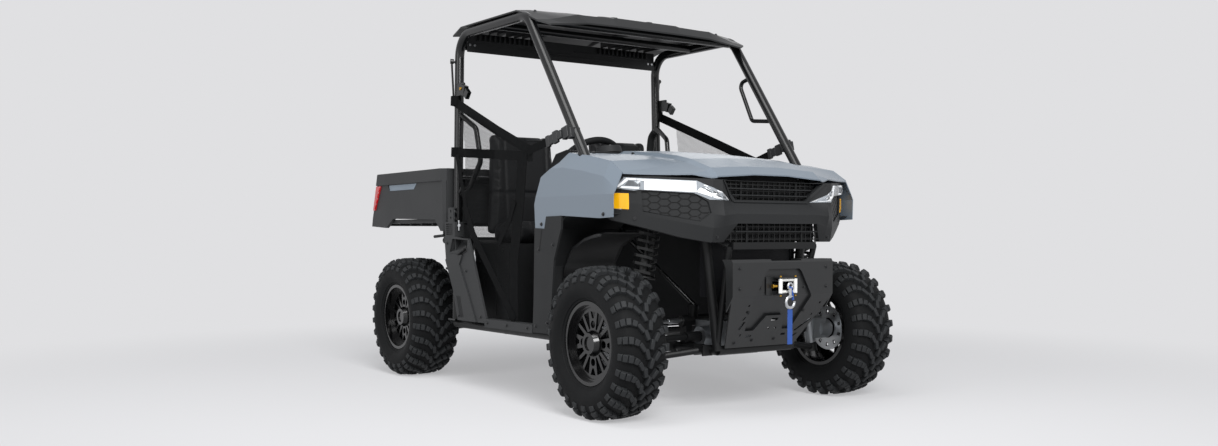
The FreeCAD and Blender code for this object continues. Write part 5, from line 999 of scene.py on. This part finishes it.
class VEHICLE_OT_winch_fittings(bpy.types.Operator):
    """Make the fairlead's rollers and pins, and the hook's latch"""

    bl_idname = "vehicle.winch_fittings"
    bl_label = "Winch Fittings"

    def execute(self, context):
        rollers, pins, latch = bmesh.new(), bmesh.new(), bmesh.new()
        for bm, rods in ((rollers, ROLLERS), (pins, ROLLER_PINS), (latch, [HOOK_PIVOT])):
            for start, end, radius, sides in rods:
                lift = Vector((0, 0, FAIRLEAD_Z))
                add_rod(bm, Vector(start) + lift, Vector(end) + lift, radius, sides)
        add_plate(latch, [(x, HOOK_LATCH_Y, FAIRLEAD_Z + z) for x, z in HOOK_LATCH], (0, 0.008, 0))
        new_piece(rollers, "fairlead_rollers", "white_nylon", bevel_mm=1.0)
        new_piece(pins, "fairlead_pins", "brass")
        new_piece(latch, "hook_latch", "blue_strap_webbing", bevel_mm=1.0)
        return {"FINISHED"}


# Grille and honeycomb inserts

# Bars over the grille's mesh: half length, y and z.
GRILLE_BARS = ((0.226, -1.2035, 0.916), (0.204, -1.2035, 0.890), (0.218, -1.241, 0.745))
BAR_RADIUS = 0.0036
BAR_FLATNESS = 0.6
# Panels of fine mesh: y, lowest and highest z, and half width there.
MESH_PANELS = ((-1.181, 0.872, 0.943, 0.190, 0.266), (-1.216, 0.704, 0.774, 0.255, 0.214))
WIRE = 0.0018
WIRE_DEPTH = 0.003
WIRES_EACH_SIDE = 21
LEVEL_WIRES = 6
# How far the wires stop short of the panel's edges, in length and in half width.
UPRIGHT_MARGIN = 0.012
LEVEL_MARGIN = 0.004
# The duct behind the grille stands for its shroud. Its near-black, fully matt finish is painted shade, and it
# closes the view through the grille to the bright floor beyond.
DUCT_Y = -1.150
DUCT_OUTLINE = (
    (-0.290, 0.855), (0.290, 0.855), (0.290, 0.942), (0.150, 0.975), (-0.150, 0.975), (-0.290, 0.942))
DUCT_WALL = 0.004
LOWER_DUCT = ((0, -1.180, 0.742), (0.520, DUCT_WALL, 0.076))
# Three points on the ribs of the left honeycomb insert, and the insert's outline, as x and z.
INSERT_SEATS = ((0.373, 0.842), (0.487, 0.842), (0.430, 0.816))
INSERT_OUTLINE = [
    (0.331, 0.817), (0.364, 0.786), (0.480, 0.812), (0.533, 0.825), (0.539, 0.901), (0.377, 0.889),
    (0.338, 0.859)]
# How far the near-black sheet under the cells stands out: painted shade in the grooves between them.
INSERT_GROOVE_SHADE_DEPTH = 0.0006
# The cells: their pitch across and up, the place of the middle one, their half width and height, and how far
# they stand out.
CELL_PITCH = (0.031, 0.027)
CELL_MIDDLE = (0.437, 0.843)
CELL_HALF_WIDTH = CELL_PITCH[0] * 2 / 3 - 0.0028
CELL_HALF_HEIGHT = CELL_PITCH[1] / 2 - 0.0022
CELL_DEPTH = 0.0024


class VEHICLE_OT_grille_fittings(bpy.types.Operator):
    """Set the long bars, the fine mesh with a near-black duct behind as painted shade, and the honeycomb cells
    over painted shade in their grooves
    """

    bl_idname = "vehicle.grille_fittings"
    bl_label = "Grille Fittings"

    def execute(self, context):
        bars, mesh, duct = bmesh.new(), bmesh.new(), bmesh.new()
        for half, y, z in GRILLE_BARS:
            add_pipe(bars, [(-half, y, z), (half, y, z)], BAR_RADIUS, 10, flat=BAR_FLATNESS)
        for panel in MESH_PANELS:
            add_mesh_panel(mesh, *panel)
        add_plate(duct, [(x, DUCT_Y, z) for x, z in DUCT_OUTLINE], (0, DUCT_WALL, 0))
        add_box(duct, *LOWER_DUCT)
        new_piece(bars, "grille_bars", "grained_polypropylene")
        new_piece(mesh, "grille_mesh", "black_fastener")
        new_piece(duct, "air_duct_shade", "seam_shadow", bevel_mm=1.0)
        surface = skin("bumper_fascia")
        for side, sign in SIDES:
            seats = [seat_at(surface, (sign * x, NOSE_Y, z), FORWARD_TO_BACK)[0] for x, z in INSERT_SEATS]
            # A near-black sheet under the cells: painted shade in the grooves between them.
            shade_sheet = bmesh.new()
            shade_sheet.faces.new([shade_sheet.verts.new((x, 0, z)) for x, z in INSERT_OUTLINE])
            stand_out(shade_sheet, sign, seats, INSERT_GROOVE_SHADE_DEPTH)
            new_piece(shade_sheet, f"insert_groove_shade_{side}", "seam_shadow")
            cells = flat_cells()
            stand_out(cells, sign, seats, CELL_DEPTH)
            new_piece(cells, f"insert_cells_{side}", "grained_polypropylene", bevel_mm=0.6, bevel_segments=1)
        return {"FINISHED"}


def add_mesh_panel(bm, y, low_z, high_z, low_half, high_half):
    """Upright and level wires over a four-cornered opening."""
    height = high_z - low_z
    half_width = (low_half + high_half) / 2
    for i in range(-WIRES_EACH_SIDE, WIRES_EACH_SIDE + 1):
        x = half_width * i / (WIRES_EACH_SIDE + 0.5)
        add_box(bm, (x, y, (low_z + high_z) / 2), (WIRE, WIRE_DEPTH, height - UPRIGHT_MARGIN))
    for i in range(LEVEL_WIRES):
        share = (i + 0.5) / LEVEL_WIRES
        half = low_half + (high_half - low_half) * share - LEVEL_MARGIN
        add_box(bm, (0, y, low_z + height * share), (2 * half, WIRE_DEPTH, WIRE))


def flat_cells():
    """Flat-topped hexagons in the plane y = 0, cut off at the left insert's outline."""
    bm = bmesh.new()
    for column in range(-4, 5):
        for row in range(-3, 4):
            x = CELL_MIDDLE[0] + column * CELL_PITCH[0]
            z = CELL_MIDDLE[1] + (row + (column % 2) / 2) * CELL_PITCH[1]
            upright = CELL_HALF_HEIGHT / math.sin(math.radians(60))
            place = Matrix(((0, CELL_HALF_WIDTH, 0, x), (0, 0, 1, 0), (upright, 0, 0, z), (0, 0, 0, 1)))
            bmesh.ops.create_circle(bm, cap_ends=True, segments=6, radius=1, matrix=place)
    for (x, z), (next_x, next_z) in zip(INSERT_OUTLINE, INSERT_OUTLINE[1:] + INSERT_OUTLINE[:1]):
        bmesh.ops.bisect_plane(bm, geom=bm.verts[:] + bm.edges[:] + bm.faces[:], plane_co=(x, 0, z),
                               plane_no=(next_z - z, 0, x - next_x), clear_outer=True)
    return bm


def stand_out(bm, sign, seats, depth):
    """Take a flat mesh to its side, onto the plane through three seats, and thicken it forwards."""
    level = (seats[1] - seats[0]).cross(seats[2] - seats[0])
    for vertex in bm.verts:
        vertex.co.x *= sign
        vertex.co.y -= level.dot(vertex.co - seats[0]) / level.y
    grown = bmesh.ops.extrude_face_region(bm, geom=bm.faces[:])["geom"]
    bmesh.ops.translate(bm, verts=new_verts(grown), vec=(0, -depth, 0))


# Roof fittings

ROOF_TOP_Z = 1.74
HEADER_PANEL = ((0, 0.356, 1.660), (1.120, 0.004, 0.092))
# Ribs across the header panel: x and z of the middle, and length.
HEADER_RIBS = ((-0.30, 1.672, 0.42), (-0.12, 1.650, 0.30), (0.28, 1.668, 0.46), (0.10, 1.640, 0.50))
HEADER_RIB_Y = 0.352
HEADER_RIB = 0.006
COMB_TEETH = 12
COMB_PITCH = 0.027
COMB_START = (0.200, 0.345, 1.688)
COMB_TOOTH = (0.008, 0.020, 0.030)
# Raised patches on the roof, and a near-black patch painted as the shade inside a recess: height in mm, rows
# and columns, and corners as x and y.
ROOF_RIDGES = (
    (6.0, (2, 4), ((0.252, -0.262), (0.300, -0.268), (0.520, -0.060), (0.480, -0.052))),
    (4.0, (8, 1), ((-0.112, -0.240), (-0.088, -0.240), (-0.088, 0.30), (-0.112, 0.30))),
    (4.0, (8, 1), ((0.088, -0.240), (0.112, -0.240), (0.112, 0.30), (0.088, 0.30))),
)
ROOF_RECESS_SHADE = (0.6, (4, 6), ((-0.375, -0.270), (-0.200, -0.270), (-0.205, -0.120), (-0.340, -0.120)))
EYELET_PLACE = (0.556, -0.147, ROOF_TOP_Z)
EYELET_LINE_MM = ((-14, 0, -2), (-12, 0, 14), (12, 0, 14), (14, 0, -2))
EYELET_RADIUS = 0.0035


class VEHICLE_OT_roof_fittings(bpy.types.Operator):
    """Fit the header panel and combs under the roof's rear, and the ridges, the painted shade of a recess and
    the eyelet on its top
    """

    bl_idname = "vehicle.roof_fittings"
    bl_label = "Roof Fittings"

    def execute(self, context):
        header, ridges, recess, loop = bmesh.new(), bmesh.new(), bmesh.new(), bmesh.new()
        add_box(header, *HEADER_PANEL)
        for x, z, length in HEADER_RIBS:
            add_box(header, (x, HEADER_RIB_Y, z), (length, HEADER_RIB, HEADER_RIB))
        for i in range(COMB_TEETH):
            for sign in (1, -1):
                add_box(header, (sign * (COMB_START[0] + i * COMB_PITCH), *COMB_START[1:]), COMB_TOOTH)
        surface = skin("roof")
        for bm, patches in ((ridges, ROOF_RIDGES), (recess, [ROOF_RECESS_SHADE])):
            for height_mm, (rows, columns), corners in patches:
                spots = [(x, y, ROOF_TOP_Z) for x, y in corners]
                add_patch(bm, surface, spots, DOWN, height_mm * MM, rows, columns)
        place, _ = seat_at(surface, EYELET_PLACE, DOWN)
        add_pipe(loop, [place + Vector(step) * MM for step in EYELET_LINE_MM], EYELET_RADIUS, 10)
        new_piece(header, "rear_header_panel", "roof_polyethylene", bevel_mm=1.2)
        new_piece(ridges, "roof_ridges", "roof_polyethylene", bevel_mm=1.5)
        new_piece(recess, "roof_recess_shade", "seam_shadow")
        new_piece(loop, "roof_eyelet", "zinc_plated_steel")
        return {"FINISHED"}


# Arch liners

# The liner's run over the wheel as y and z, and its section as x and a drop in z.
LINER_RUN = (
    (-0.560, 0.560), (-0.574, 0.617), (-0.630, 0.685), (-0.722, 0.724), (-0.790, 0.738), (-0.850, 0.744))
LINER_SECTION = ((0.330, 0.0), (0.350, 0.0), (0.570, 0.0), (0.590, 0.006), (0.594, 0.020))
LINER_WALL = 0.003


class VEHICLE_OT_arch_liners(bpy.types.Operator):
    """Line the front wheel arches with a thin moulded shell behind each wheel"""

    bl_idname = "vehicle.arch_liners"
    bl_label = "Arch Liners"

    def execute(self, context):
        for side, sign in SIDES:
            bm = bmesh.new()
            grid = bmesh.ops.create_grid(
                bm, x_segments=len(LINER_SECTION) - 1, y_segments=len(LINER_RUN) - 1, size=1)
            places = itertools.product(LINER_RUN, LINER_SECTION)
            for vertex, ((y, z), (x, drop)) in zip(grid["verts"], places):
                vertex.co = (sign * x, y, z - drop)
            liner = new_piece(bm, f"arch_liner_{side}", "roof_polyethylene")
            shell = liner.modifiers.new("Wall", "SOLIDIFY")
            shell.thickness = LINER_WALL
        return {"FINISHED"}


# Cab fittings

# The rear pillar's bracket: rods as start, end, radius and sides, a bar, and blocks as place, size and turn.
BRACKET_RODS = (
    ((0.585, 0.380, 1.560), (0.626, 0.394, 1.566), 0.006, 12),
    ((0.614, 0.390, 1.566), (0.630, 0.396, 1.567), 0.012, 16),
)
BRACKET_BAR = ((0.624, 0.392, 1.562), (0.612, 0.400, 1.395))
BRACKET_BAR_RADIUS = 0.005
BRACKET_BLOCKS = (
    ((0.604, 0.338, 1.428), (0.012, 0.070, 0.060), 0.0),
    ((0.608, 0.298, 1.420), (0.024, 0.040, 0.050), 0.35),
    ((0.610, 0.262, 1.400), (0.020, 0.034, 0.040), 0.7),
)
BRACKET_BOLT = ((0.600, 0.310, 1.428), (0.624, 0.310, 1.428), 0.008, 6)
GRIP_LINE = ((0.040, -0.324, 1.040), (0.040, -0.318, 1.120), (0.040, -0.330, 1.188), (0.040, -0.362, 1.212))
GRIP_RADIUS = 0.0165
GAUGE_PLACE = (-0.300, -0.480, 1.10)
GAUGE_SINK = 0.002
GAUGE_HEIGHT = 0.030
GAUGE_RADII = (0.060, 0.054)
GAUGE_GLASS_HEIGHT = 0.0315
GAUGE_GLASS_RADIUS = 0.046


class VEHICLE_OT_cab_fittings(bpy.types.Operator):
    """Fit the brackets on the rear pillars, the grip on the hand-hold, and the instruments on the dash"""

    bl_idname = "vehicle.cab_fittings"
    bl_label = "Cab Fittings"

    def execute(self, context):
        brackets, bolts, grip, pod, glass = (bmesh.new() for _ in range(5))
        for _, sign in SIDES:
            add_rods(brackets, BRACKET_RODS, sign)
            add_pipe(brackets, [(sign * x, y, z) for x, y, z in BRACKET_BAR], BRACKET_BAR_RADIUS, 10)
            for (x, y, z), size, turn in BRACKET_BLOCKS:
                add_box(brackets, (sign * x, y, z), size, Matrix.Rotation(turn, 3, "X"))
            add_rods(bolts, [BRACKET_BOLT], sign)
        add_pipe(grip, GRIP_LINE, GRIP_RADIUS, 20)
        place, normal = seat_at(skin("dash"), GAUGE_PLACE, DOWN)
        top = place + normal * GAUGE_HEIGHT
        add_rod(pod, place - normal * GAUGE_SINK, top, GAUGE_RADII[0], 32, end_radius=GAUGE_RADII[1])
        add_rod(glass, top, place + normal * GAUGE_GLASS_HEIGHT, GAUGE_GLASS_RADIUS, 32)
        new_piece(brackets, "pillar_brackets", "powder_coated_steel", bevel_mm=1.5)
        new_piece(bolts, "pillar_bolts", "brass", bevel_mm=0.6)
        new_piece(grip, "hand_hold_grip", "moulded_rubber", bevel_mm=2)
        new_piece(pod, "instrument_pod", "grained_polypropylene", bevel_mm=3, bevel_segments=3)
        new_piece(glass, "instrument_face", "gloss_black_enamel")
        return {"FINISHED"}


# Brakes

# Each axle's y and half track.
AXLES = {"front": (-0.930, 0.625), "rear": (0.900, 0.5975)}
# How far inboard of the wheel's middle the faces of the brake disc lie.
BRAKE_FACES = (0.0224, 0.0166)
BRAKE_FACE_THICKNESS = 0.0008
BRAKE_RING_RADII = (0.046, 0.067, 0.085, 0.100)
BRAKE_RING_STEPS = 60
BRAKE_HOLES = 10
# Faces whose middle lies this near a hole's, as a share of the holes' pitch, are left open.
BRAKE_HOLE_SHARE = 0.2
WHEEL_NUTS = 4
NUT_CIRCLE_RADIUS = 0.075
NUT_RADIUS = 0.0085
WHEEL_OUTSIDE_X = 0.76


class VEHICLE_OT_brakes(bpy.types.Operator):
    """Face each drilled brake disc with ground steel and fit the wheel nuts"""

    bl_idname = "vehicle.brakes"
    bl_label = "Brakes"

    def execute(self, context):
        for axle, (y, half_track) in AXLES.items():
            for side, sign in SIDES:
                wheel = f"wheel_{axle}_{side}"
                faces, nuts = bmesh.new(), bmesh.new()
                for inboard in BRAKE_FACES:
                    add_disc_face(faces, Vector((sign * (half_track - inboard), y, TYRE_RADIUS)))
                surface = skin(wheel)
                for i in range(WHEEL_NUTS):
                    angle = (i + 0.5) * 2 * math.pi / WHEEL_NUTS
                    spot = Vector((0, math.cos(angle), math.sin(angle))) * NUT_CIRCLE_RADIUS
                    spot += Vector((sign * WHEEL_OUTSIDE_X, y, TYRE_RADIUS))
                    add_bolt(nuts, surface, spot, (-sign, 0, 0), NUT_RADIUS)
                new_piece(faces, f"brake_faces_{axle}_{side}", "ground_steel", wheel)
                new_piece(nuts, f"wheel_nuts_{axle}_{side}", "zinc_plated_steel", wheel, bevel_mm=0.8)
        return {"FINISHED"}


def add_disc_face(bm, centre):
    """A thin steel ring over one side of a brake disc, open over its drilled holes."""
    line = [bm.verts.new(centre + Vector((0, 0, radius))) for radius in BRAKE_RING_RADII]
    edges = [bm.edges.new(pair) for pair in zip(line, line[1:])]
    before = set(bm.faces)
    bmesh.ops.spin(bm, geom=line + edges, cent=centre, axis=(1, 0, 0), angle=2 * math.pi,
                   steps=BRAKE_RING_STEPS, use_merge=True)
    ring = [face for face in bm.faces if face not in before]
    holes = []
    for face in ring:
        offset = face.calc_center_median() - centre
        pitches = math.atan2(offset.y, offset.z) / (2 * math.pi) * BRAKE_HOLES
        in_band = BRAKE_RING_RADII[1] < offset.length < BRAKE_RING_RADII[2]
        if in_band and abs(pitches - round(pitches)) < BRAKE_HOLE_SHARE:
            holes.append(face)
    bmesh.ops.delete(bm, geom=holes, context="FACES")
    kept = [face for face in ring if face.is_valid]
    grown = bmesh.ops.extrude_face_region(bm, geom=kept)["geom"]
    bmesh.ops.translate(bm, verts=new_verts(grown), vec=(BRAKE_FACE_THICKNESS, 0, 0))


# Fasteners

# Screws on the flanks, the top and the front of each node.
FLANK_SCREWS = {
    "front_skirts": [
        (0.66, -0.479, 0.669), (0.66, -0.592, 0.690), (0.66, -0.545, 0.360), (0.66, -0.450, 0.340)],
    "front_side_panels": [(0.66, -0.497, 0.776), (0.66, -0.965, 0.812)],
    "seat_base": [(0.55, 0.042, 0.661), (0.55, 0.032, 0.416), (0.55, -0.010, 0.372), (0.55, 0.270, 0.600)],
    "rear_side_panels": [
        (0.65, 0.270, 0.345), (0.65, 0.200, 0.560), (0.65, 0.060, 0.350), (0.65, 0.395, 0.690)],
    "rocker_panels": [(0.66, -0.38, 0.328), (0.66, -0.2, 0.328), (0.66, -0.02, 0.328)],
}
TOP_SCREWS = {
    "roof": [(0.52, -0.22, 1.72), (0.52, 0.05, 1.72), (0.52, 0.30, 1.72)],
    "bonnet": [(0.50, -0.66, 1.09), (0.30, -0.66, 1.10)],
}
FRONT_SCREWS = {
    "winch_plate": [
        (0.235, -1.29, 0.600), (0.235, -1.29, 0.520), (0.118, -1.28, 0.520), (0.150, -1.24, 0.420),
        (0.060, -1.2, 0.300), (0.150, -1.2, 0.292)],
    "bumper_fascia": [(0.300, -1.2, 0.722), (0.560, -1.1, 0.795)],
}
SCREW_RADIUS = 0.0055
ROUND_HEAD, HEXAGON_HEAD = 12, 6
# Bolts of the cage: from behind at the header, and from the side at the pillar's foot.
HEADER_BOLTS = ((0.520, 0.381, 1.648), (0.545, 0.381, 1.648))
HEADER_BOLT_RADIUS = 0.007
FOOT_BOLTS = ((0.62, 0.381, 0.842), (0.62, 0.381, 0.812))
FOOT_BOLT_RADIUS = 0.008


class VEHICLE_OT_fasteners(bpy.types.Operator):
    """Seat the screws and bolts that hold the panels, the plate, the seat base and the cage"""

    bl_idname = "vehicle.fasteners"
    bl_label = "Fasteners"

    def execute(self, context):
        for spots, way, head in (
            (FLANK_SCREWS, None, ROUND_HEAD), (TOP_SCREWS, DOWN, ROUND_HEAD),
            (FRONT_SCREWS, FORWARD_TO_BACK, HEXAGON_HEAD),
        ):
            for node, points in spots.items():
                bm = bmesh.new()
                surface = skin(node)
                for point, sign in mirrored(points):
                    add_bolt(bm, surface, point, way or (-sign, 0, 0), SCREW_RADIUS, head)
                new_piece(bm, f"{node}_fasteners", "black_fastener", bevel_mm=0.5)
        cage = bmesh.new()
        surface = skin("roll_cage")
        for point, _ in mirrored(HEADER_BOLTS):
            add_bolt(cage, surface, point, FORWARD_TO_BACK, HEADER_BOLT_RADIUS)
        for point, sign in mirrored(FOOT_BOLTS):
            add_bolt(cage, surface, point, (-sign, 0, 0), FOOT_BOLT_RADIUS)
        new_piece(cage, "cage_bolts", "zinc_plated_steel", bevel_mm=0.5)
        return {"FINISHED"}


# Trims and latches

# Patches on the flanks: node, height in mm, rows and columns, and corners as y and z in mm.
# Near-black strips painted as the shade inside the panels' slots.
PANEL_SLOT_SHADES = (
    ("seat_base", 0.6, (4, 1), ((225, 461), (231, 461), (229, 547), (223, 547))),
    ("front_skirts", 0.6, (4, 1), ((-490, 672), (-482, 672), (-500, 752), (-508, 752))),
)
PANEL_RIBS = (
    *(("seat_base", 3.5, (4, 1), ((y, 352), (y + 9, 352), (y + 3, 650), (y - 6, 650))) for y in (-14, 108)),
    *(("rear_side_panels", 2.0, (3, 1), ((y, 340), (y + 6, 340), (y + 40, 440), (y + 34, 440)))
      for y in (222, 236, 250)),
)
BED_INLAY = ("cargo_box", 1.2, (1, 8), ((782, 963), (1080, 963), (1088, 992), (748, 992)))


class VEHICLE_OT_trims(bpy.types.Operator):
    """Lay the painted shade of the slots, the ribs and the inlays over the moulded panels"""

    bl_idname = "vehicle.trims"
    bl_label = "Trims"

    def execute(self, context):
        for side, sign in SIDES:
            for name, finish, body, bevel_mm, patches in (
                ("panel_slot_shades", "seam_shadow", "chassis", 0.0, PANEL_SLOT_SHADES),
                ("panel_ribs", "grained_polypropylene", "chassis", 0.8, PANEL_RIBS),
                ("bed_inlay", "satin_inlay", "cargo_bed", 0.0, [BED_INLAY]),
            ):
                bm = bmesh.new()
                for node, height_mm, (rows, columns), corners in patches:
                    spots = on_flank(sign, corners)
                    add_patch(bm, skin(node), spots, (-sign, 0, 0), height_mm * MM, rows, columns)
                new_piece(bm, f"{name}_{side}", finish, body, bevel_mm=bevel_mm)
        return {"FINISHED"}


# Rods as start, end, radius and sides
STRIKER_RODS = (
    ((0.640, 0.300, 0.751), (0.640, 0.300, 0.800), 0.004, 16),
    ((0.634, 0.306, 0.775), (0.646, 0.288, 0.775), 0.007, 16),
)
CAGE_LEVER_RODS = (
    ((0.652, 0.262, 0.640), (0.668, 0.262, 0.640), 0.0055, 16),
    ((0.652, 0.206, 0.662), (0.668, 0.206, 0.662), 0.0055, 16),
    ((0.665, 0.268, 0.638), (0.665, 0.200, 0.664), 0.005, 16),
    ((0.602, 0.398, 0.914), (0.606, 0.330, 0.953), 0.009, 16),
    ((0.606, 0.334, 0.950), (0.606, 0.322, 0.958), 0.012, 16),
)
CAGE_LEVER_PLATE = ((0.655, 0.236, 0.652), (0.006, 0.090, 0.030))
CAGE_LEVER_SLOPE = Matrix.Rotation(math.radians(-20), 3, "X")


class VEHICLE_OT_latches(bpy.types.Operator):
    """Build the striker and latch in each rear panel's recess and the lever at the cage's foot"""

    bl_idname = "vehicle.latches"
    bl_label = "Latches"

    def execute(self, context):
        for side, sign in SIDES:
            striker, lever = bmesh.new(), bmesh.new()
            add_rods(striker, STRIKER_RODS, sign)
            add_rods(lever, CAGE_LEVER_RODS, sign)
            (x, y, z), size = CAGE_LEVER_PLATE
            add_box(lever, (sign * x, y, z), size, CAGE_LEVER_SLOPE)
            new_piece(striker, f"striker_{side}", "zinc_plated_steel", bevel_mm=0.8)
            new_piece(lever, f"cage_lever_{side}", "chassis_black", bevel_mm=1.2)
        return {"FINISHED"}


class VEHICLE_PT_panel(bpy.types.Panel):
    """Lists the vehicle's pieces in the 3D view's sidebar"""

    bl_label = "Vehicle"
    bl_idname = "VEHICLE_PT_panel"
    bl_space_type = "VIEW_3D"
    bl_region_type = "UI"
    bl_category = "Vehicle"

    def draw(self, context):
        for group in (context.scene.vehicle_colours, context.scene.vehicle_sizes):
            for name in group.bl_rna.properties.keys():
                if name not in {"rna_type", "name"}:
                    self.layout.prop(group, name)
        for operator in OPERATORS:
            self.layout.operator(operator.bl_idname)


OPERATORS = [
    VEHICLE_OT_stage, VEHICLE_OT_finishes, VEHICLE_OT_seats, VEHICLE_OT_nets, VEHICLE_OT_tyres,
    VEHICLE_OT_lamps, VEHICLE_OT_winch_fittings, VEHICLE_OT_grille_fittings, VEHICLE_OT_roof_fittings,
    VEHICLE_OT_cab_fittings, VEHICLE_OT_arch_liners, VEHICLE_OT_brakes, VEHICLE_OT_fasteners,
    VEHICLE_OT_trims, VEHICLE_OT_latches,
]
CLASSES = [VehicleColours, VehicleSizes, *OPERATORS, VEHICLE_PT_panel]


def register():
    """Register the classes and attach the settings to the scene."""
    for cls in CLASSES:
        bpy.utils.register_class(cls)
    bpy.types.Scene.vehicle_colours = bpy.props.PointerProperty(type=VehicleColours)
    bpy.types.Scene.vehicle_sizes = bpy.props.PointerProperty(type=VehicleSizes)


def unregister():
    """Detach the settings and unregister the classes."""
    del bpy.types.Scene.vehicle_sizes
    del bpy.types.Scene.vehicle_colours
    for cls in reversed(CLASSES):
        bpy.utils.unregister_class(cls)


def main():
    """Build every piece in order."""
    register()
    bpy.ops.vehicle.stage()
    bpy.ops.vehicle.finishes()
    bpy.ops.vehicle.seats()
    bpy.ops.vehicle.nets()
    bpy.ops.vehicle.tyres()
    bpy.ops.vehicle.lamps()
    bpy.ops.vehicle.winch_fittings()
    bpy.ops.vehicle.grille_fittings()
    bpy.ops.vehicle.roof_fittings()
    bpy.ops.vehicle.cab_fittings()
    bpy.ops.vehicle.arch_liners()
    bpy.ops.vehicle.brakes()
    bpy.ops.vehicle.fasteners()
    bpy.ops.vehicle.trims()
    bpy.ops.vehicle.latches()


if __name__ == "__main__":
    main()
